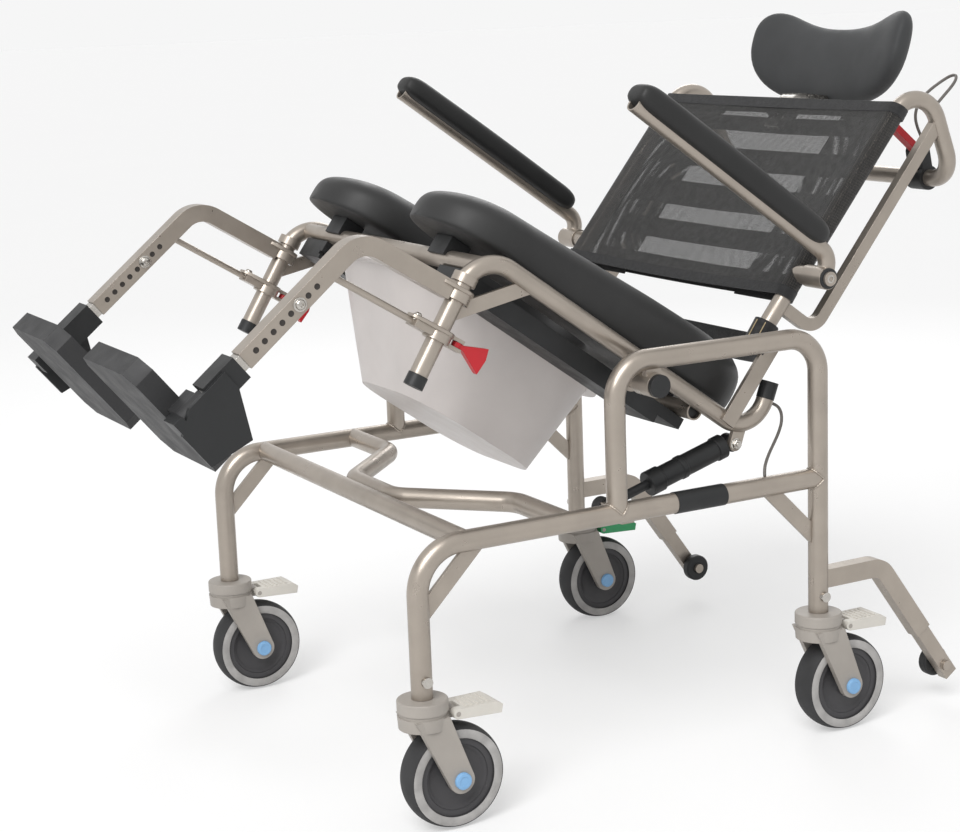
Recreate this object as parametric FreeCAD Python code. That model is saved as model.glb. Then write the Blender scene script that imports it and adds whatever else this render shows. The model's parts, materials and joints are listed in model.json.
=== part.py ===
import FreeCAD, Part
import math
import os

# Tilting commode chair on four braked castors, in millimetres.
# The chair faces -Y, +X is the sitter's left, +Z is up and the floor is z = 0.
# The seat frame is drawn in its own level frame (x, u to the rear, w up) whose
# origin is on the tilt axis, and is then tipped back to the full tilt.

os.makedirs("parts", exist_ok=True)

# Base frame
TUBE_OD = 25.4
TUBE_WALL = 2.0
BASE_HALF_WIDTH = 295.0
LEG_HALF_SPAN = 285.0
LEG_BOTTOM_Z = 162.0
LOWER_RAIL_Z = 338.0
ARCH_RAIL_Z = 519.0
ARCH_POST_Y = -15.0
LEG_BEND_R = 55.0
ARCH_BEND_R = 45.0
FRONT_BAR_Y = -222.0
HAT_REAR_Y = -84.0
HAT_FRONT_Y = -195.0
HAT_SHOULDER_X = 175.0
HAT_NOSE_X = 59.0
HAT_BEND_R = 40.0
GUSSET_WIDTH = 20.0
GUSSET_THICK = 5.0
GUSSET_REACH = 82.0
BAND_LENGTH = 72.0
BAND_THICK = 0.8
BAND_Y = 66.0

# Fits
RUN_CLEARANCE = 0.05
FACE_GAP = 0.3

# Castors
WHEEL_R = 62.5
WHEEL_HALF_WIDTH = 17.0
TYRE_CROWN = 3.5
TYRE_INNER_R = 47.0
RING_INNER_R = 40.0
RING_HALF_WIDTH = 15.0
DISC_HALF_WIDTH = 10.0
HUB_R = 14.0
AXLE_R = 6.0
CASTOR_TRAIL = 34.0
FORK_SIDE_GAP = 2.0
FORK_LEG_THICK = 8.0
FORK_EYE_R = 16.0
AXLE_CAP_R = 9.5
AXLE_CAP_THICK = 4.0
HOUSING_R = 30.0
HOUSING_HEIGHT = 34.0
HOUSING_GROOVE = 1.6
STEM_LENGTH = 45.0
PEDAL_PIN_R = 3.0
PEDAL_PIN_Y = 35.5
PEDAL_PIN_DROP = 21.0
PEDAL_HALF_WIDTH = 21.0
PEDAL_REACH = 92.0
PEDAL_THICK = 12.0
LEG_BOLT_R = 6.5
LEG_BOLT_HEAD = 4.5
LEG_BOLT_RISE = 22.0

# Anti-tip bars behind the rear legs
TIP_BAR_HEIGHT = 24.0
TIP_BAR_WIDTH = 20.0
TIP_BAR_WALL = 2.0
TIP_BAR_Z = 206.0
TIP_BEND_Y = 381.0
TIP_BEND_R = 26.0
TIP_SLOPE_DEG = 54.5
TIP_OUTER_LENGTH = 122.0
TIP_INNER_LENGTH = 208.0
TIP_WHEEL_R = 20.0
TIP_WHEEL_WIDTH = 14.0
TIP_AXLE_R = 4.0
TIP_AXLE_INSET = 18.0

# Tilt axis and the seat frame
PIVOT_Y = 38.0
PIVOT_Z = 488.0
REST_TILT_DEG = 35.8
PIVOT_PIN_R = 10.0
PIVOT_BOSS_R = 15.0
PIVOT_BOSS_LENGTH = 34.0
PIVOT_CAP_THICK = 6.0
SEAT_TUBE_OD = 22.2
SEAT_TUBE_WALL = 2.0
SEAT_HALF_WIDTH = 250.0
SEAT_RAIL_W = 25.0
SEAT_CORNER_U = -267.0
SEAT_BEND_R = 45.0
HANGER_LEAN_DEG = 3.9
HANGER_LENGTH = 161.0
HANGER_CAP_LENGTH = 15.0
COLLAR_DROP = 34.0
COLLAR_R = 15.0
COLLAR_HEIGHT = 11.0
CURL_START_U = 152.0
CURL_R = 40.0
CURL_TURN_DEG = 105.0
CURL_CAP_LENGTH = 22.0
FRONT_CROSS_U = -248.0
REAR_CROSS_U = 108.0
CROSS_W = 12.0

# Back sling, which sets the height of the back
SLING_THICK = 2.4
SLING_BOTTOM_W = 194.0
SLING_TOP_W = 468.0
SLING_FLAP = 118.0
SLING_SAG = 16.0

# Back frame and push handle
BACK_BASE_U = 136.6
BACK_BASE_W = 118.0
BACK_LEAN_DEG = 3.4
HANDLE_OVER_SLING = 80.0
HANDLE_TOP_W = SLING_TOP_W + HANDLE_OVER_SLING
HANDLE_BAR_U = 292.0
HANDLE_BAR_DROP = 88.0
HANDLE_BAR_W = HANDLE_TOP_W - HANDLE_BAR_DROP
HANDLE_BEND_R = 40.0
STAY_WIDTH = 12.0
STAY_DEPTH = 16.0
STAY_FOOT_W = 184.0
STAY_OFFSET = 64.0
STAY_BEND_R = 22.0
BRACE_WIDTH = 21.0
BRACE_THICK = 6.0
BRACE_FOOT_U = 148.0
BRACE_HEAD_U = 154.0
BRACE_HEAD_W = 152.0

# Gas strut between the base rail and the seat frame, on the left
STRUT_X = 240.0
STRUT_FOOT_Y = 0.0
STRUT_FOOT_Z = 332.0
STRUT_HEAD_U = 181.0
STRUT_HEAD_W = 6.0
STRUT_EYE_WIDTH = 16.0
STRUT_EYE_R = 11.0
STRUT_PIN_R = 5.0
STRUT_PIVOT_PLAY = 2.6
STRUT_LUG_HALF = 9.0
STRUT_BARREL_R = 14.0
STRUT_BARREL_LENGTH = 118.0
STRUT_ROD_R = 6.0
STRUT_ROD_ENGAGED = 92.0
STRUT_FOOT_EYE_R = 12.5
SEAT_GUSSET_DROP = 84.0
SEAT_GUSSET_REACH = 84.0

# Armrests
ARM_X = 298.0
ARM_W = 259.0
ARM_FRONT_U = -210.0
ARM_BEND_R = 22.0
ARM_TUBE_OD = 22.0
ARM_PIVOT_W = 231.0
ARM_PIN_R = 6.0
ARM_HUB_R = 14.0
ARM_WASHER_R = 12.0
ARM_HUB_IN = 272.0
ARM_HUB_OUT = 311.0
ARM_PAD_LENGTH = 326.0
ARM_PAD_WIDTH = 44.0
ARM_PAD_HEIGHT = 27.0
ARM_PAD_CROWN = 3.0

# Legrests, measured down and forward from the hanger corner
LEG_TUBE = 22.0
LEG_WALL = 2.0
LEG_ARM_DROP = 59.0
LEG_REACH = 142.4
LEG_SPLAY_DEG = 18.9
LEG_BEND_IN_R = 36.0
LEG_OUTER_LENGTH = 189.0
LEG_EYE_R = 16.5
LEG_EYE_HEIGHT = 15.0
EYE_ROOM = 1.0
EAR_HALF = 6.0
CLAMP_DROP = 110.0
BRACE_ROD_R = 4.0
LEVER_REACH = 66.0
LEVER_THICK = 9.0
LEVER_TIP_HALF = 19.0
LEVER_PIN_R = 3.0
LEVER_PIN_U = 27.0
SLIDE_TOP = 70.0
SLEEVE_TOP = 197.0
SLEEVE_BOTTOM = 244.0
SLEEVE_HALF = 15.5
FOOT_KNUCKLE_R = 12.0
GUARD_REACH = 66.0
GUARD_THICK = 7.0
PLATE_CHAMFER = 16.0
KNUCKLE_TOP = 246.0
KNUCKLE_BOTTOM = 281.0
FOOT_ROD_R = 6.5
FOOT_ROD_END = 292.0
PLATE_TOP = 262.0
PLATE_THICK = 26.0
PLATE_TOE = 72.0
PLATE_HEEL = 86.0
PLATE_INNER_X = 60.0
PLATE_OUTER_X = 224.0

# Seat cushion, pan and pan rails
CUSHION_W = 36.6
CUSHION_HEIGHT = 56.0
CUSHION_RISE_DEG = 4.0
CUSHION_FRONT_U = -308.0
CUSHION_REAR_U = 196.0
CUSHION_HALF_WIDTH = 232.0
CUSHION_REAR_R = 70.0
CUSHION_WAIST = 5.0
APERTURE_HALF = 62.0
APERTURE_REAR_U = 60.0
PAN_RIM_W = -18.0
PAN_FLOOR_W = -142.0
PAN_WALL = 4.0
PAN_FRONT_U = -262.0
PAN_REAR_U = 58.0
PAN_FLOOR_FRONT_U = -160.0
PAN_FLOOR_REAR_U = 48.0
PAN_HALF_WIDTH = 152.0
PAN_FLOOR_HALF = 112.0
PAN_CORNER_R = 100.0
PAN_FLOOR_CORNER_R = 70.0
PAN_FLANGE = 14.0
PAN_FLANGE_THICK = 4.0
PAN_RAIL_WIDTH = 62.0
PAN_RAIL_OVERHANG = 8.0
PAN_RAIL_STOP = 6.0
SADDLE_WIDTH = 40.0
SADDLE_LENGTH = 30.0

# Headrest, release lever and cables
HEAD_BAR_OVER_SLING = 13.0
HEAD_BAR_W = SLING_TOP_W + HEAD_BAR_OVER_SLING
HEAD_BAR_DEPTH = 12.0
HEAD_BAR_HEIGHT = 18.0
HEAD_STEM_WIDTH = 30.0
HEAD_STEM_THICK = 8.0
HEAD_STEM_DROP = 29.0
HEAD_STEM_BOTTOM_W = HEAD_BAR_W - HEAD_STEM_DROP
HEAD_RISE = 14.0
HEAD_STEM_BEND_R = 20.0
HEAD_CLAMP_SIDE = 10.0
HEAD_CLAMP_BACK = 7.0
HEAD_PAD_LEAN_DEG = 18.0
HEAD_PAD_HEIGHT = 102.0
HEAD_PAD_BOW = 30.0
HEAD_PAD_U = 216.0
HEAD_PAD_RISE = 102.0
HEAD_PAD_W = HEAD_BAR_W + HEAD_PAD_RISE
HEAD_STEM_BACK = 52.0
HEAD_STEM_BELOW = 26.0
HEAD_PAD_HALF = 162.0
HEAD_PAD_THICK = 40.0
RELEASE_X = 188.0
RELEASE_WIDTH = 30.0
RELEASE_PIVOT_FRONT = 26.0
RELEASE_PIVOT_U = HANDLE_BAR_U - RELEASE_PIVOT_FRONT
RELEASE_PIVOT_RISE = 24.0
RELEASE_PIVOT_W = HANDLE_BAR_W + RELEASE_PIVOT_RISE
RELEASE_LENGTH = 58.0
RELEASE_LIFT_DEG = 4.0
RELEASE_LEVER_DEPTH = 9.0
RELEASE_HUB_R = 7.0
RELEASE_EYE_R = 8.0
RELEASE_CLAMP_WALL = 5.0
RELEASE_SLOT_FRONT = 12.0
RELEASE_SLOT_REAR = 16.0
RELEASE_SLOT_HALF = 26.0
CABLE_D = 4.0


def vec(x, y, z):
    """Return a point or direction."""
    return FreeCAD.Vector(x, y, z)


AXIS_X = vec(1, 0, 0)
AXIS_Y = vec(0, 1, 0)
AXIS_Z = vec(0, 0, 1)
ORIGIN = vec(0, 0, 0)

pieces = {}


def add(name, *solids):
    """Keep one sub-part under its node name."""
    shapes = [solid.removeSplitter() for solid in solids]
    pieces[name] = shapes[0] if len(shapes) == 1 else Part.Compound(shapes)


def mirrored(shape):
    """Return the twin of a shape on the other side of the chair."""
    return shape.mirror(ORIGIN, AXIS_X)


def box(x0, x1, y0, y1, z0, z1):
    """Return a block between two corners."""
    return Part.makeBox(x1 - x0, y1 - y0, z1 - z0, vec(x0, y0, z0))


def rod_between(start, end, radius):
    """Return a round bar from one point to another."""
    run = end - start
    return Part.makeCylinder(radius, run.Length, start, run)


def disc_x(x0, x1, y, z, radius):
    """Return a round bar along X."""
    return Part.makeCylinder(radius, x1 - x0, vec(x0, y, z), AXIS_X)


def rounded_path(points, radii):
    """Return a wire of straight runs joined by tangent arcs."""
    edges = []
    last = points[0]
    for index in range(1, len(points) - 1):
        corner = points[index]
        back = (points[index - 1] - corner).normalize()
        ahead = (points[index + 1] - corner).normalize()
        half_turn = (math.pi - back.getAngle(ahead)) / 2
        reach = radii[index - 1] * math.tan(half_turn)
        enter = corner + back * reach
        leave = corner + ahead * reach
        inward = (back + ahead).normalize()
        depth = radii[index - 1] * (1 / math.cos(half_turn) - 1)
        edges.append(Part.LineSegment(last, enter).toShape())
        edges.append(Part.Arc(enter, corner + inward * depth, leave).toShape())
        last = leave
    edges.append(Part.LineSegment(last, points[-1]).toShape())
    return Part.Wire(edges)


def bent_rod(points, radii, diameter):
    """Return a solid round bar along a bent path."""
    path = rounded_path(points, radii)
    profile = Part.Wire(Part.makeCircle(diameter / 2, points[0], points[1] - points[0]))
    return path.makePipeShell([profile], True, False)


def bent_tube(points, radii, diameter, wall):
    """Return a hollow round tube along a bent path."""
    bore = bent_rod(points, radii, diameter - 2 * wall)
    return bent_rod(points, radii, diameter).cut(bore)


def bent_bar(points, radii, width_x, depth):
    """Return a rectangular bar along a path that lies in one X plane."""
    path = rounded_path(points, radii)
    across = AXIS_X * (width_x / 2)
    upward = (points[1] - points[0]).cross(AXIS_X).normalize() * (depth / 2)
    start = points[0]
    corners = [
        start + across + upward,
        start + across - upward,
        start - across - upward,
        start - across + upward,
    ]
    profile = Part.makePolygon(corners + [corners[0]])
    return path.makePipeShell([profile], True, False)


def flat_bar(start, end, x0, x1, width):
    """Return a flat bar between two points of one X plane."""
    run = vec(0, end.y - start.y, end.z - start.z)
    side = run.cross(AXIS_X).normalize() * (width / 2)
    corners = [start + side, start - side, end - side, end + side]
    flat = [vec(x0, point.y, point.z) for point in corners]
    face = Part.Face(Part.makePolygon(flat + [flat[0]]))
    return face.extrude(vec(x1 - x0, 0, 0))


# Base frame: two bent side rails, two arches and two cross tubes

def base_paths(side):
    """Return the centre lines of one side of the base."""
    x = side * BASE_HALF_WIDTH
    rail = [
        vec(x, -LEG_HALF_SPAN, LEG_BOTTOM_Z),
        vec(x, -LEG_HALF_SPAN, LOWER_RAIL_Z),
        vec(x, LEG_HALF_SPAN, LOWER_RAIL_Z),
    ]
    arch = [
        vec(x, ARCH_POST_Y, LOWER_RAIL_Z),
        vec(x, ARCH_POST_Y, ARCH_RAIL_Z),
        vec(x, LEG_HALF_SPAN, ARCH_RAIL_Z),
        vec(x, LEG_HALF_SPAN, LEG_BOTTOM_Z),
    ]
    return rail, arch


def build_base():
    """Make the welded base and what is fixed to it."""
    rail_path, arch_path = base_paths(1)
    arch_radii = [ARCH_BEND_R, ARCH_BEND_R]
    rail_rod = bent_rod(rail_path, [LEG_BEND_R], TUBE_OD)
    arch_rod = bent_rod(arch_path, arch_radii, TUBE_OD)
    rail = bent_tube(rail_path, [LEG_BEND_R], TUBE_OD, TUBE_WALL).cut(arch_rod)
    arch = bent_tube(arch_path, arch_radii, TUBE_OD, TUBE_WALL).cut(rail_rod)

    boss_out = BASE_HALF_WIDTH + TUBE_OD / 2
    boss_in = boss_out - PIVOT_BOSS_LENGTH
    boss = disc_x(boss_in, boss_out, PIVOT_Y, PIVOT_Z, PIVOT_BOSS_R)
    web_half = PIVOT_BOSS_R * 0.7
    web = box(BASE_HALF_WIDTH - GUSSET_THICK, BASE_HALF_WIDTH + GUSSET_THICK,
              PIVOT_Y - web_half, PIVOT_Y + web_half, PIVOT_Z, ARCH_RAIL_Z).cut(arch_rod)
    bore = disc_x(boss_in, boss_out, PIVOT_Y, PIVOT_Z, PIVOT_PIN_R + RUN_CLEARANCE)
    arch = arch.fuse([boss, web]).cut(bore)
    far_rail_path, far_arch_path = base_paths(-1)
    far_rail_rod = bent_rod(far_rail_path, [LEG_BEND_R], TUBE_OD)
    far_arch = bent_tube(far_arch_path, arch_radii, TUBE_OD, TUBE_WALL).cut(far_rail_rod)
    far_arch = far_arch.fuse([mirrored(boss), mirrored(web)]).cut(mirrored(bore))

    lug_in = STRUT_X - STRUT_EYE_WIDTH / 2
    strut_lug = box(STRUT_X + STRUT_EYE_WIDTH / 2 + FACE_GAP, BASE_HALF_WIDTH,
                    STRUT_FOOT_Y - STRUT_LUG_HALF, STRUT_FOOT_Y + STRUT_LUG_HALF,
                    STRUT_FOOT_Z - STRUT_LUG_HALF, STRUT_FOOT_Z + STRUT_LUG_HALF)
    strut_lug = strut_lug.fuse(disc_x(lug_in, BASE_HALF_WIDTH, STRUT_FOOT_Y, STRUT_FOOT_Z, STRUT_PIN_R))
    rail_bore = bent_rod(rail_path, [LEG_BEND_R], TUBE_OD - 2 * TUBE_WALL)
    strut_lug = strut_lug.cut(rail_rod)
    near_rail = rail.fuse(strut_lug).cut(rail_bore)

    add("side_rail_left", near_rail)
    add("side_rail_right", mirrored(rail))
    add("arch_left", arch)
    add("arch_right", far_arch)

    rails = [rail_rod, mirrored(rail_rod)]
    front_bar = bent_tube([vec(-BASE_HALF_WIDTH, FRONT_BAR_Y, LOWER_RAIL_Z),
                           vec(BASE_HALF_WIDTH, FRONT_BAR_Y, LOWER_RAIL_Z)], [],
                          TUBE_OD, TUBE_WALL).cut(rails)
    hat_path = [
        vec(-BASE_HALF_WIDTH, HAT_REAR_Y, LOWER_RAIL_Z),
        vec(-HAT_SHOULDER_X, HAT_REAR_Y, LOWER_RAIL_Z),
        vec(-HAT_NOSE_X, HAT_FRONT_Y, LOWER_RAIL_Z),
        vec(HAT_NOSE_X, HAT_FRONT_Y, LOWER_RAIL_Z),
        vec(HAT_SHOULDER_X, HAT_REAR_Y, LOWER_RAIL_Z),
        vec(BASE_HALF_WIDTH, HAT_REAR_Y, LOWER_RAIL_Z),
    ]
    hat = bent_tube(hat_path, [HAT_BEND_R] * 4, TUBE_OD, TUBE_WALL).cut(rails)
    add("base_cross_tubes", front_bar, hat)

    front_corner = vec(BASE_HALF_WIDTH, -LEG_HALF_SPAN, LOWER_RAIL_Z)
    rear_corner = vec(BASE_HALF_WIDTH, LEG_HALF_SPAN, LOWER_RAIL_Z)
    flat_x0 = BASE_HALF_WIDTH - GUSSET_THICK / 2
    flat_x1 = BASE_HALF_WIDTH + GUSSET_THICK / 2
    front_gusset = flat_bar(front_corner - AXIS_Z * GUSSET_REACH, front_corner + AXIS_Y * GUSSET_REACH,
                            flat_x0, flat_x1, GUSSET_WIDTH).cut(rail_rod)
    rear_gusset = flat_bar(rear_corner - AXIS_Y * GUSSET_REACH, rear_corner - AXIS_Z * GUSSET_REACH,
                           flat_x0, flat_x1, GUSSET_WIDTH).cut([rail_rod, arch_rod])
    front_gusset = max(front_gusset.Solids, key=lambda solid: solid.Volume)
    rear_gusset = max(rear_gusset.Solids, key=lambda solid: solid.Volume)
    add("base_gussets", front_gusset, rear_gusset, mirrored(front_gusset), mirrored(rear_gusset))

    band_tube = Part.makeCylinder(TUBE_OD / 2 + BAND_THICK, BAND_LENGTH,
                                  vec(BASE_HALF_WIDTH, BAND_Y, LOWER_RAIL_Z), AXIS_Y)
    band_bore = Part.makeCylinder(TUBE_OD / 2 + RUN_CLEARANCE, BAND_LENGTH,
                                  vec(BASE_HALF_WIDTH, BAND_Y, LOWER_RAIL_Z), AXIS_Y)
    add("rail_band", band_tube.cut(band_bore))


def build_leg_bolts():
    """Make the bolts that hold the castor stems in the legs."""
    heads = []
    face_x = BASE_HALF_WIDTH + TUBE_OD / 2 - TUBE_WALL / 2
    for side_y in (-LEG_HALF_SPAN, LEG_HALF_SPAN):
        height = LEG_BOTTOM_Z + LEG_BOLT_RISE
        leg = Part.makeCylinder(TUBE_OD / 2, 4 * LEG_BOLT_R,
                                vec(BASE_HALF_WIDTH, side_y, height - 2 * LEG_BOLT_R))
        head = disc_x(face_x, face_x + TUBE_WALL / 2 + LEG_BOLT_HEAD, side_y, height, LEG_BOLT_R)
        head = head.cut(leg)
        heads.append(head)
        heads.append(mirrored(head))
    add("leg_bolts", *heads)


# Castors: a swivelling fork, a wheel of tyre and hub, and a brake pedal

def revolved_x(profile, centre_y, centre_z, x):
    """Turn a half profile of (radius, x) points about an axle along X."""
    points = [vec(x + across, centre_y, centre_z + radius) for radius, across in profile]
    face = Part.Face(Part.makePolygon(points + [points[0]]))
    return face.revolve(vec(x, centre_y, centre_z), AXIS_X, 360)


def tyre_solid(x, y, z):
    """Return a tyre with a rounded tread."""
    half = WHEEL_HALF_WIDTH
    shoulder = WHEEL_R - TYRE_CROWN
    start = vec(x - half, y, z + TYRE_INNER_R)
    left = vec(x - half, y, z + shoulder)
    crown = vec(x, y, z + WHEEL_R)
    right = vec(x + half, y, z + shoulder)
    end = vec(x + half, y, z + TYRE_INNER_R)
    edges = [
        Part.LineSegment(start, left).toShape(),
        Part.Arc(left, crown, right).toShape(),
        Part.LineSegment(right, end).toShape(),
        Part.LineSegment(end, start).toShape(),
    ]
    return Part.Face(Part.Wire(edges)).revolve(vec(x, y, z), AXIS_X, 360)


def hub_solid(x, y, z):
    """Return the wheel centre: a rim ring, a thinner disc and a hub."""
    bore = AXLE_R + RUN_CLEARANCE
    half_profile = [
        (bore, WHEEL_HALF_WIDTH),
        (HUB_R, WHEEL_HALF_WIDTH),
        (HUB_R + 3, DISC_HALF_WIDTH),
        (RING_INNER_R - 3, DISC_HALF_WIDTH),
        (RING_INNER_R, RING_HALF_WIDTH),
        (TYRE_INNER_R, RING_HALF_WIDTH),
    ]
    other_half = [(radius, -across) for radius, across in reversed(half_profile)]
    return revolved_x(half_profile + other_half, y, z, x)


def fork_solid(x, y):
    """Return the swivelling fork with its stem, housing, axle and pedal lug."""
    top = LEG_BOTTOM_Z - FACE_GAP
    bottom = top - HOUSING_HEIGHT
    middle = (top + bottom) / 2
    groove_r = HOUSING_R - HOUSING_GROOVE
    stem_r = TUBE_OD / 2 - TUBE_WALL - RUN_CLEARANCE
    housing = Part.makeCylinder(HOUSING_R, top - middle - HOUSING_GROOVE,
                                vec(x, y, middle + HOUSING_GROOVE))
    housing = housing.makeFillet(2.0, [housing.Edges[0], housing.Edges[2]])
    neck = Part.makeCylinder(groove_r, HOUSING_GROOVE * 2, vec(x, y, middle - HOUSING_GROOVE))
    skirt = Part.makeCone(HOUSING_R - 1, HOUSING_R, middle - HOUSING_GROOVE - bottom, vec(x, y, bottom))
    stem = Part.makeCylinder(stem_r, STEM_LENGTH + FACE_GAP, vec(x, y, top))

    axle_y = y + CASTOR_TRAIL
    inner = WHEEL_HALF_WIDTH + FORK_SIDE_GAP
    outer = inner + FORK_LEG_THICK
    legs = []
    for side in (-1, 1):
        outline = [
            vec(x + side * inner, y - HOUSING_R * 0.72, middle - 3),
            vec(x + side * inner, y + HOUSING_R * 0.72, middle - 3),
            vec(x + side * inner, axle_y + FORK_EYE_R * 0.97, WHEEL_R + FORK_EYE_R * 0.24),
            vec(x + side * inner, axle_y - FORK_EYE_R * 0.88, WHEEL_R - FORK_EYE_R * 0.47),
        ]
        face = Part.Face(Part.makePolygon(outline + [outline[0]]))
        legs.append(face.extrude(vec(side * FORK_LEG_THICK, 0, 0)))
        eye_x = x + side * inner if side > 0 else x - outer
        legs.append(disc_x(eye_x, eye_x + FORK_LEG_THICK, axle_y, WHEEL_R, FORK_EYE_R))
    axle = disc_x(x - outer - AXLE_CAP_THICK, x + outer + AXLE_CAP_THICK, axle_y, WHEEL_R, AXLE_R)
    caps = [
        disc_x(x + outer, x + outer + AXLE_CAP_THICK, axle_y, WHEEL_R, AXLE_CAP_R),
        disc_x(x - outer - AXLE_CAP_THICK, x - outer, axle_y, WHEEL_R, AXLE_CAP_R),
    ]
    pin_z = top - PEDAL_PIN_DROP
    lug_half = PEDAL_HALF_WIDTH * 0.45
    lug = box(x - lug_half, x + lug_half, y, y + PEDAL_PIN_Y,
              pin_z - PEDAL_THICK / 2, pin_z + PEDAL_THICK / 2)
    lug_end = disc_x(x - lug_half, x + lug_half, y + PEDAL_PIN_Y, pin_z, PEDAL_THICK / 2)
    pin = disc_x(x - PEDAL_HALF_WIDTH, x + PEDAL_HALF_WIDTH, y + PEDAL_PIN_Y, pin_z, PEDAL_PIN_R)
    return housing.fuse([neck, skirt, stem, axle, lug, lug_end, pin] + legs + caps)


def pedal_solid(x, y):
    """Return the brake pedal, two arms on the pin and a sloping toe plate."""
    pin_z = LEG_BOTTOM_Z - FACE_GAP - PEDAL_PIN_DROP
    pin_y = y + PEDAL_PIN_Y
    half_thick = PEDAL_THICK / 2
    plate_start = pin_y + half_thick + 2
    tip_y = y + PEDAL_REACH
    outline = [
        vec(x - PEDAL_HALF_WIDTH, pin_y, pin_z - half_thick),
        vec(x - PEDAL_HALF_WIDTH, tip_y, pin_z - half_thick - 3),
        vec(x - PEDAL_HALF_WIDTH, tip_y + 2, pin_z + half_thick - 5),
        vec(x - PEDAL_HALF_WIDTH, tip_y - 6, pin_z + half_thick),
        vec(x - PEDAL_HALF_WIDTH, pin_y, pin_z + half_thick),
    ]
    plate = Part.Face(Part.makePolygon(outline + [outline[0]])).extrude(AXIS_X * (2 * PEDAL_HALF_WIDTH))
    barrel = disc_x(x - PEDAL_HALF_WIDTH, x + PEDAL_HALF_WIDTH, pin_y, pin_z, half_thick)
    slot_half = PEDAL_HALF_WIDTH * 0.45 + FACE_GAP
    slot = box(x - slot_half, x + slot_half, pin_y - PEDAL_THICK, plate_start,
               pin_z - PEDAL_THICK, pin_z + PEDAL_THICK)
    hole = disc_x(x - PEDAL_HALF_WIDTH, x + PEDAL_HALF_WIDTH, pin_y, pin_z, PEDAL_PIN_R + RUN_CLEARANCE)
    return plate.fuse(barrel).cut([slot, hole])


def build_castors():
    """Make the four castors."""
    places = {
        "front_left": (BASE_HALF_WIDTH, -LEG_HALF_SPAN),
        "front_right": (-BASE_HALF_WIDTH, -LEG_HALF_SPAN),
        "rear_left": (BASE_HALF_WIDTH, LEG_HALF_SPAN),
        "rear_right": (-BASE_HALF_WIDTH, LEG_HALF_SPAN),
    }
    for corner, (x, y) in places.items():
        axle_y = y + CASTOR_TRAIL
        add("castor_fork_" + corner, fork_solid(x, y))
        add("castor_tyre_" + corner, tyre_solid(x, axle_y, WHEEL_R))
        add("castor_hub_" + corner, hub_solid(x, axle_y, WHEEL_R))
        add("brake_pedal_" + corner, pedal_solid(x, y))


# Anti-tip bars: a bent square bar on each rear leg, a sliding end and a small wheel

def tip_points():
    """Return the three corners of an anti-tip bar and its downward direction."""
    slope = math.radians(TIP_SLOPE_DEG)
    down = vec(0, math.cos(slope), -math.sin(slope))
    start = vec(BASE_HALF_WIDTH, LEG_HALF_SPAN, TIP_BAR_Z)
    bend = vec(BASE_HALF_WIDTH, TIP_BEND_Y, TIP_BAR_Z)
    return start, bend, down


def build_antitip():
    """Make both anti-tip bars with their wheels."""
    rail_path, arch_path = base_paths(1)
    leg = bent_rod(arch_path, [ARCH_BEND_R, ARCH_BEND_R], TUBE_OD)
    start, bend, down = tip_points()
    inner_width = TIP_BAR_WIDTH - 2 * TIP_BAR_WALL
    inner_height = TIP_BAR_HEIGHT - 2 * TIP_BAR_WALL
    outer_end = bend + down * TIP_OUTER_LENGTH
    outer = bent_bar([start, bend, outer_end], [TIP_BEND_R], TIP_BAR_WIDTH, TIP_BAR_HEIGHT)
    hollow = bent_bar([start, bend, outer_end], [TIP_BEND_R], inner_width, inner_height)
    outer = outer.cut([hollow, leg])
    outer = max(outer.Solids, key=lambda solid: solid.Volume)

    slide_start = bend + down * (TIP_OUTER_LENGTH * 0.45)
    slide_end = bend + down * TIP_INNER_LENGTH
    axle_at = bend + down * (TIP_INNER_LENGTH - TIP_AXLE_INSET)
    inner = flat_bar(slide_start, slide_end, BASE_HALF_WIDTH - inner_width / 2 + RUN_CLEARANCE,
                     BASE_HALF_WIDTH + inner_width / 2 - RUN_CLEARANCE, inner_height - 2 * RUN_CLEARANCE)
    wheel_out = BASE_HALF_WIDTH - TIP_BAR_WIDTH / 2 - FACE_GAP
    wheel_in = wheel_out - TIP_WHEEL_WIDTH
    axle = disc_x(wheel_in - FACE_GAP, BASE_HALF_WIDTH + TIP_BAR_WIDTH / 2,
                  axle_at.y, axle_at.z, TIP_AXLE_R)
    retainer = disc_x(wheel_in - FACE_GAP - 4, wheel_in - FACE_GAP, axle_at.y, axle_at.z, TIP_AXLE_R * 1.8)
    bolt_head = disc_x(BASE_HALF_WIDTH + inner_width / 2 - 1, BASE_HALF_WIDTH + TIP_BAR_WIDTH / 2 + 2,
                       axle_at.y, axle_at.z, TIP_AXLE_R * 1.7)
    inner = inner.fuse([axle, retainer, bolt_head])
    wheel = disc_x(wheel_in, wheel_out, axle_at.y, axle_at.z, TIP_WHEEL_R)
    wheel = wheel.makeFillet(3.0, [wheel.Edges[0], wheel.Edges[2]])
    wheel = wheel.cut(disc_x(wheel_in, wheel_out, axle_at.y, axle_at.z, TIP_AXLE_R + RUN_CLEARANCE))
    add("antitip_bars", outer, mirrored(outer), inner, mirrored(inner))
    add("antitip_wheel_left", wheel)
    add("antitip_wheel_right", mirrored(wheel))


# Seat frame, drawn level about the tilt axis

def tilted(shape):
    """Tip a level shape of the seat frame back to its place on the chair."""
    moved = shape.copy()
    moved.rotate(ORIGIN, AXIS_X, -REST_TILT_DEG)
    moved.translate(vec(0, PIVOT_Y, PIVOT_Z))
    return moved


def add_tilted(name, *solids):
    """Keep level solids of the seat frame under one node name, tipped back."""
    add(name, *[tilted(solid) for solid in solids])


def hanger_down():
    """Return the direction in which a hanger post runs down."""
    lean = math.radians(HANGER_LEAN_DEG)
    return vec(0, math.sin(lean), -math.cos(lean))


def hanger_point(drop):
    """Return a point on the left hanger post, measured down from its corner."""
    return vec(SEAT_HALF_WIDTH, SEAT_CORNER_U, SEAT_RAIL_W) + hanger_down() * drop


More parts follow.
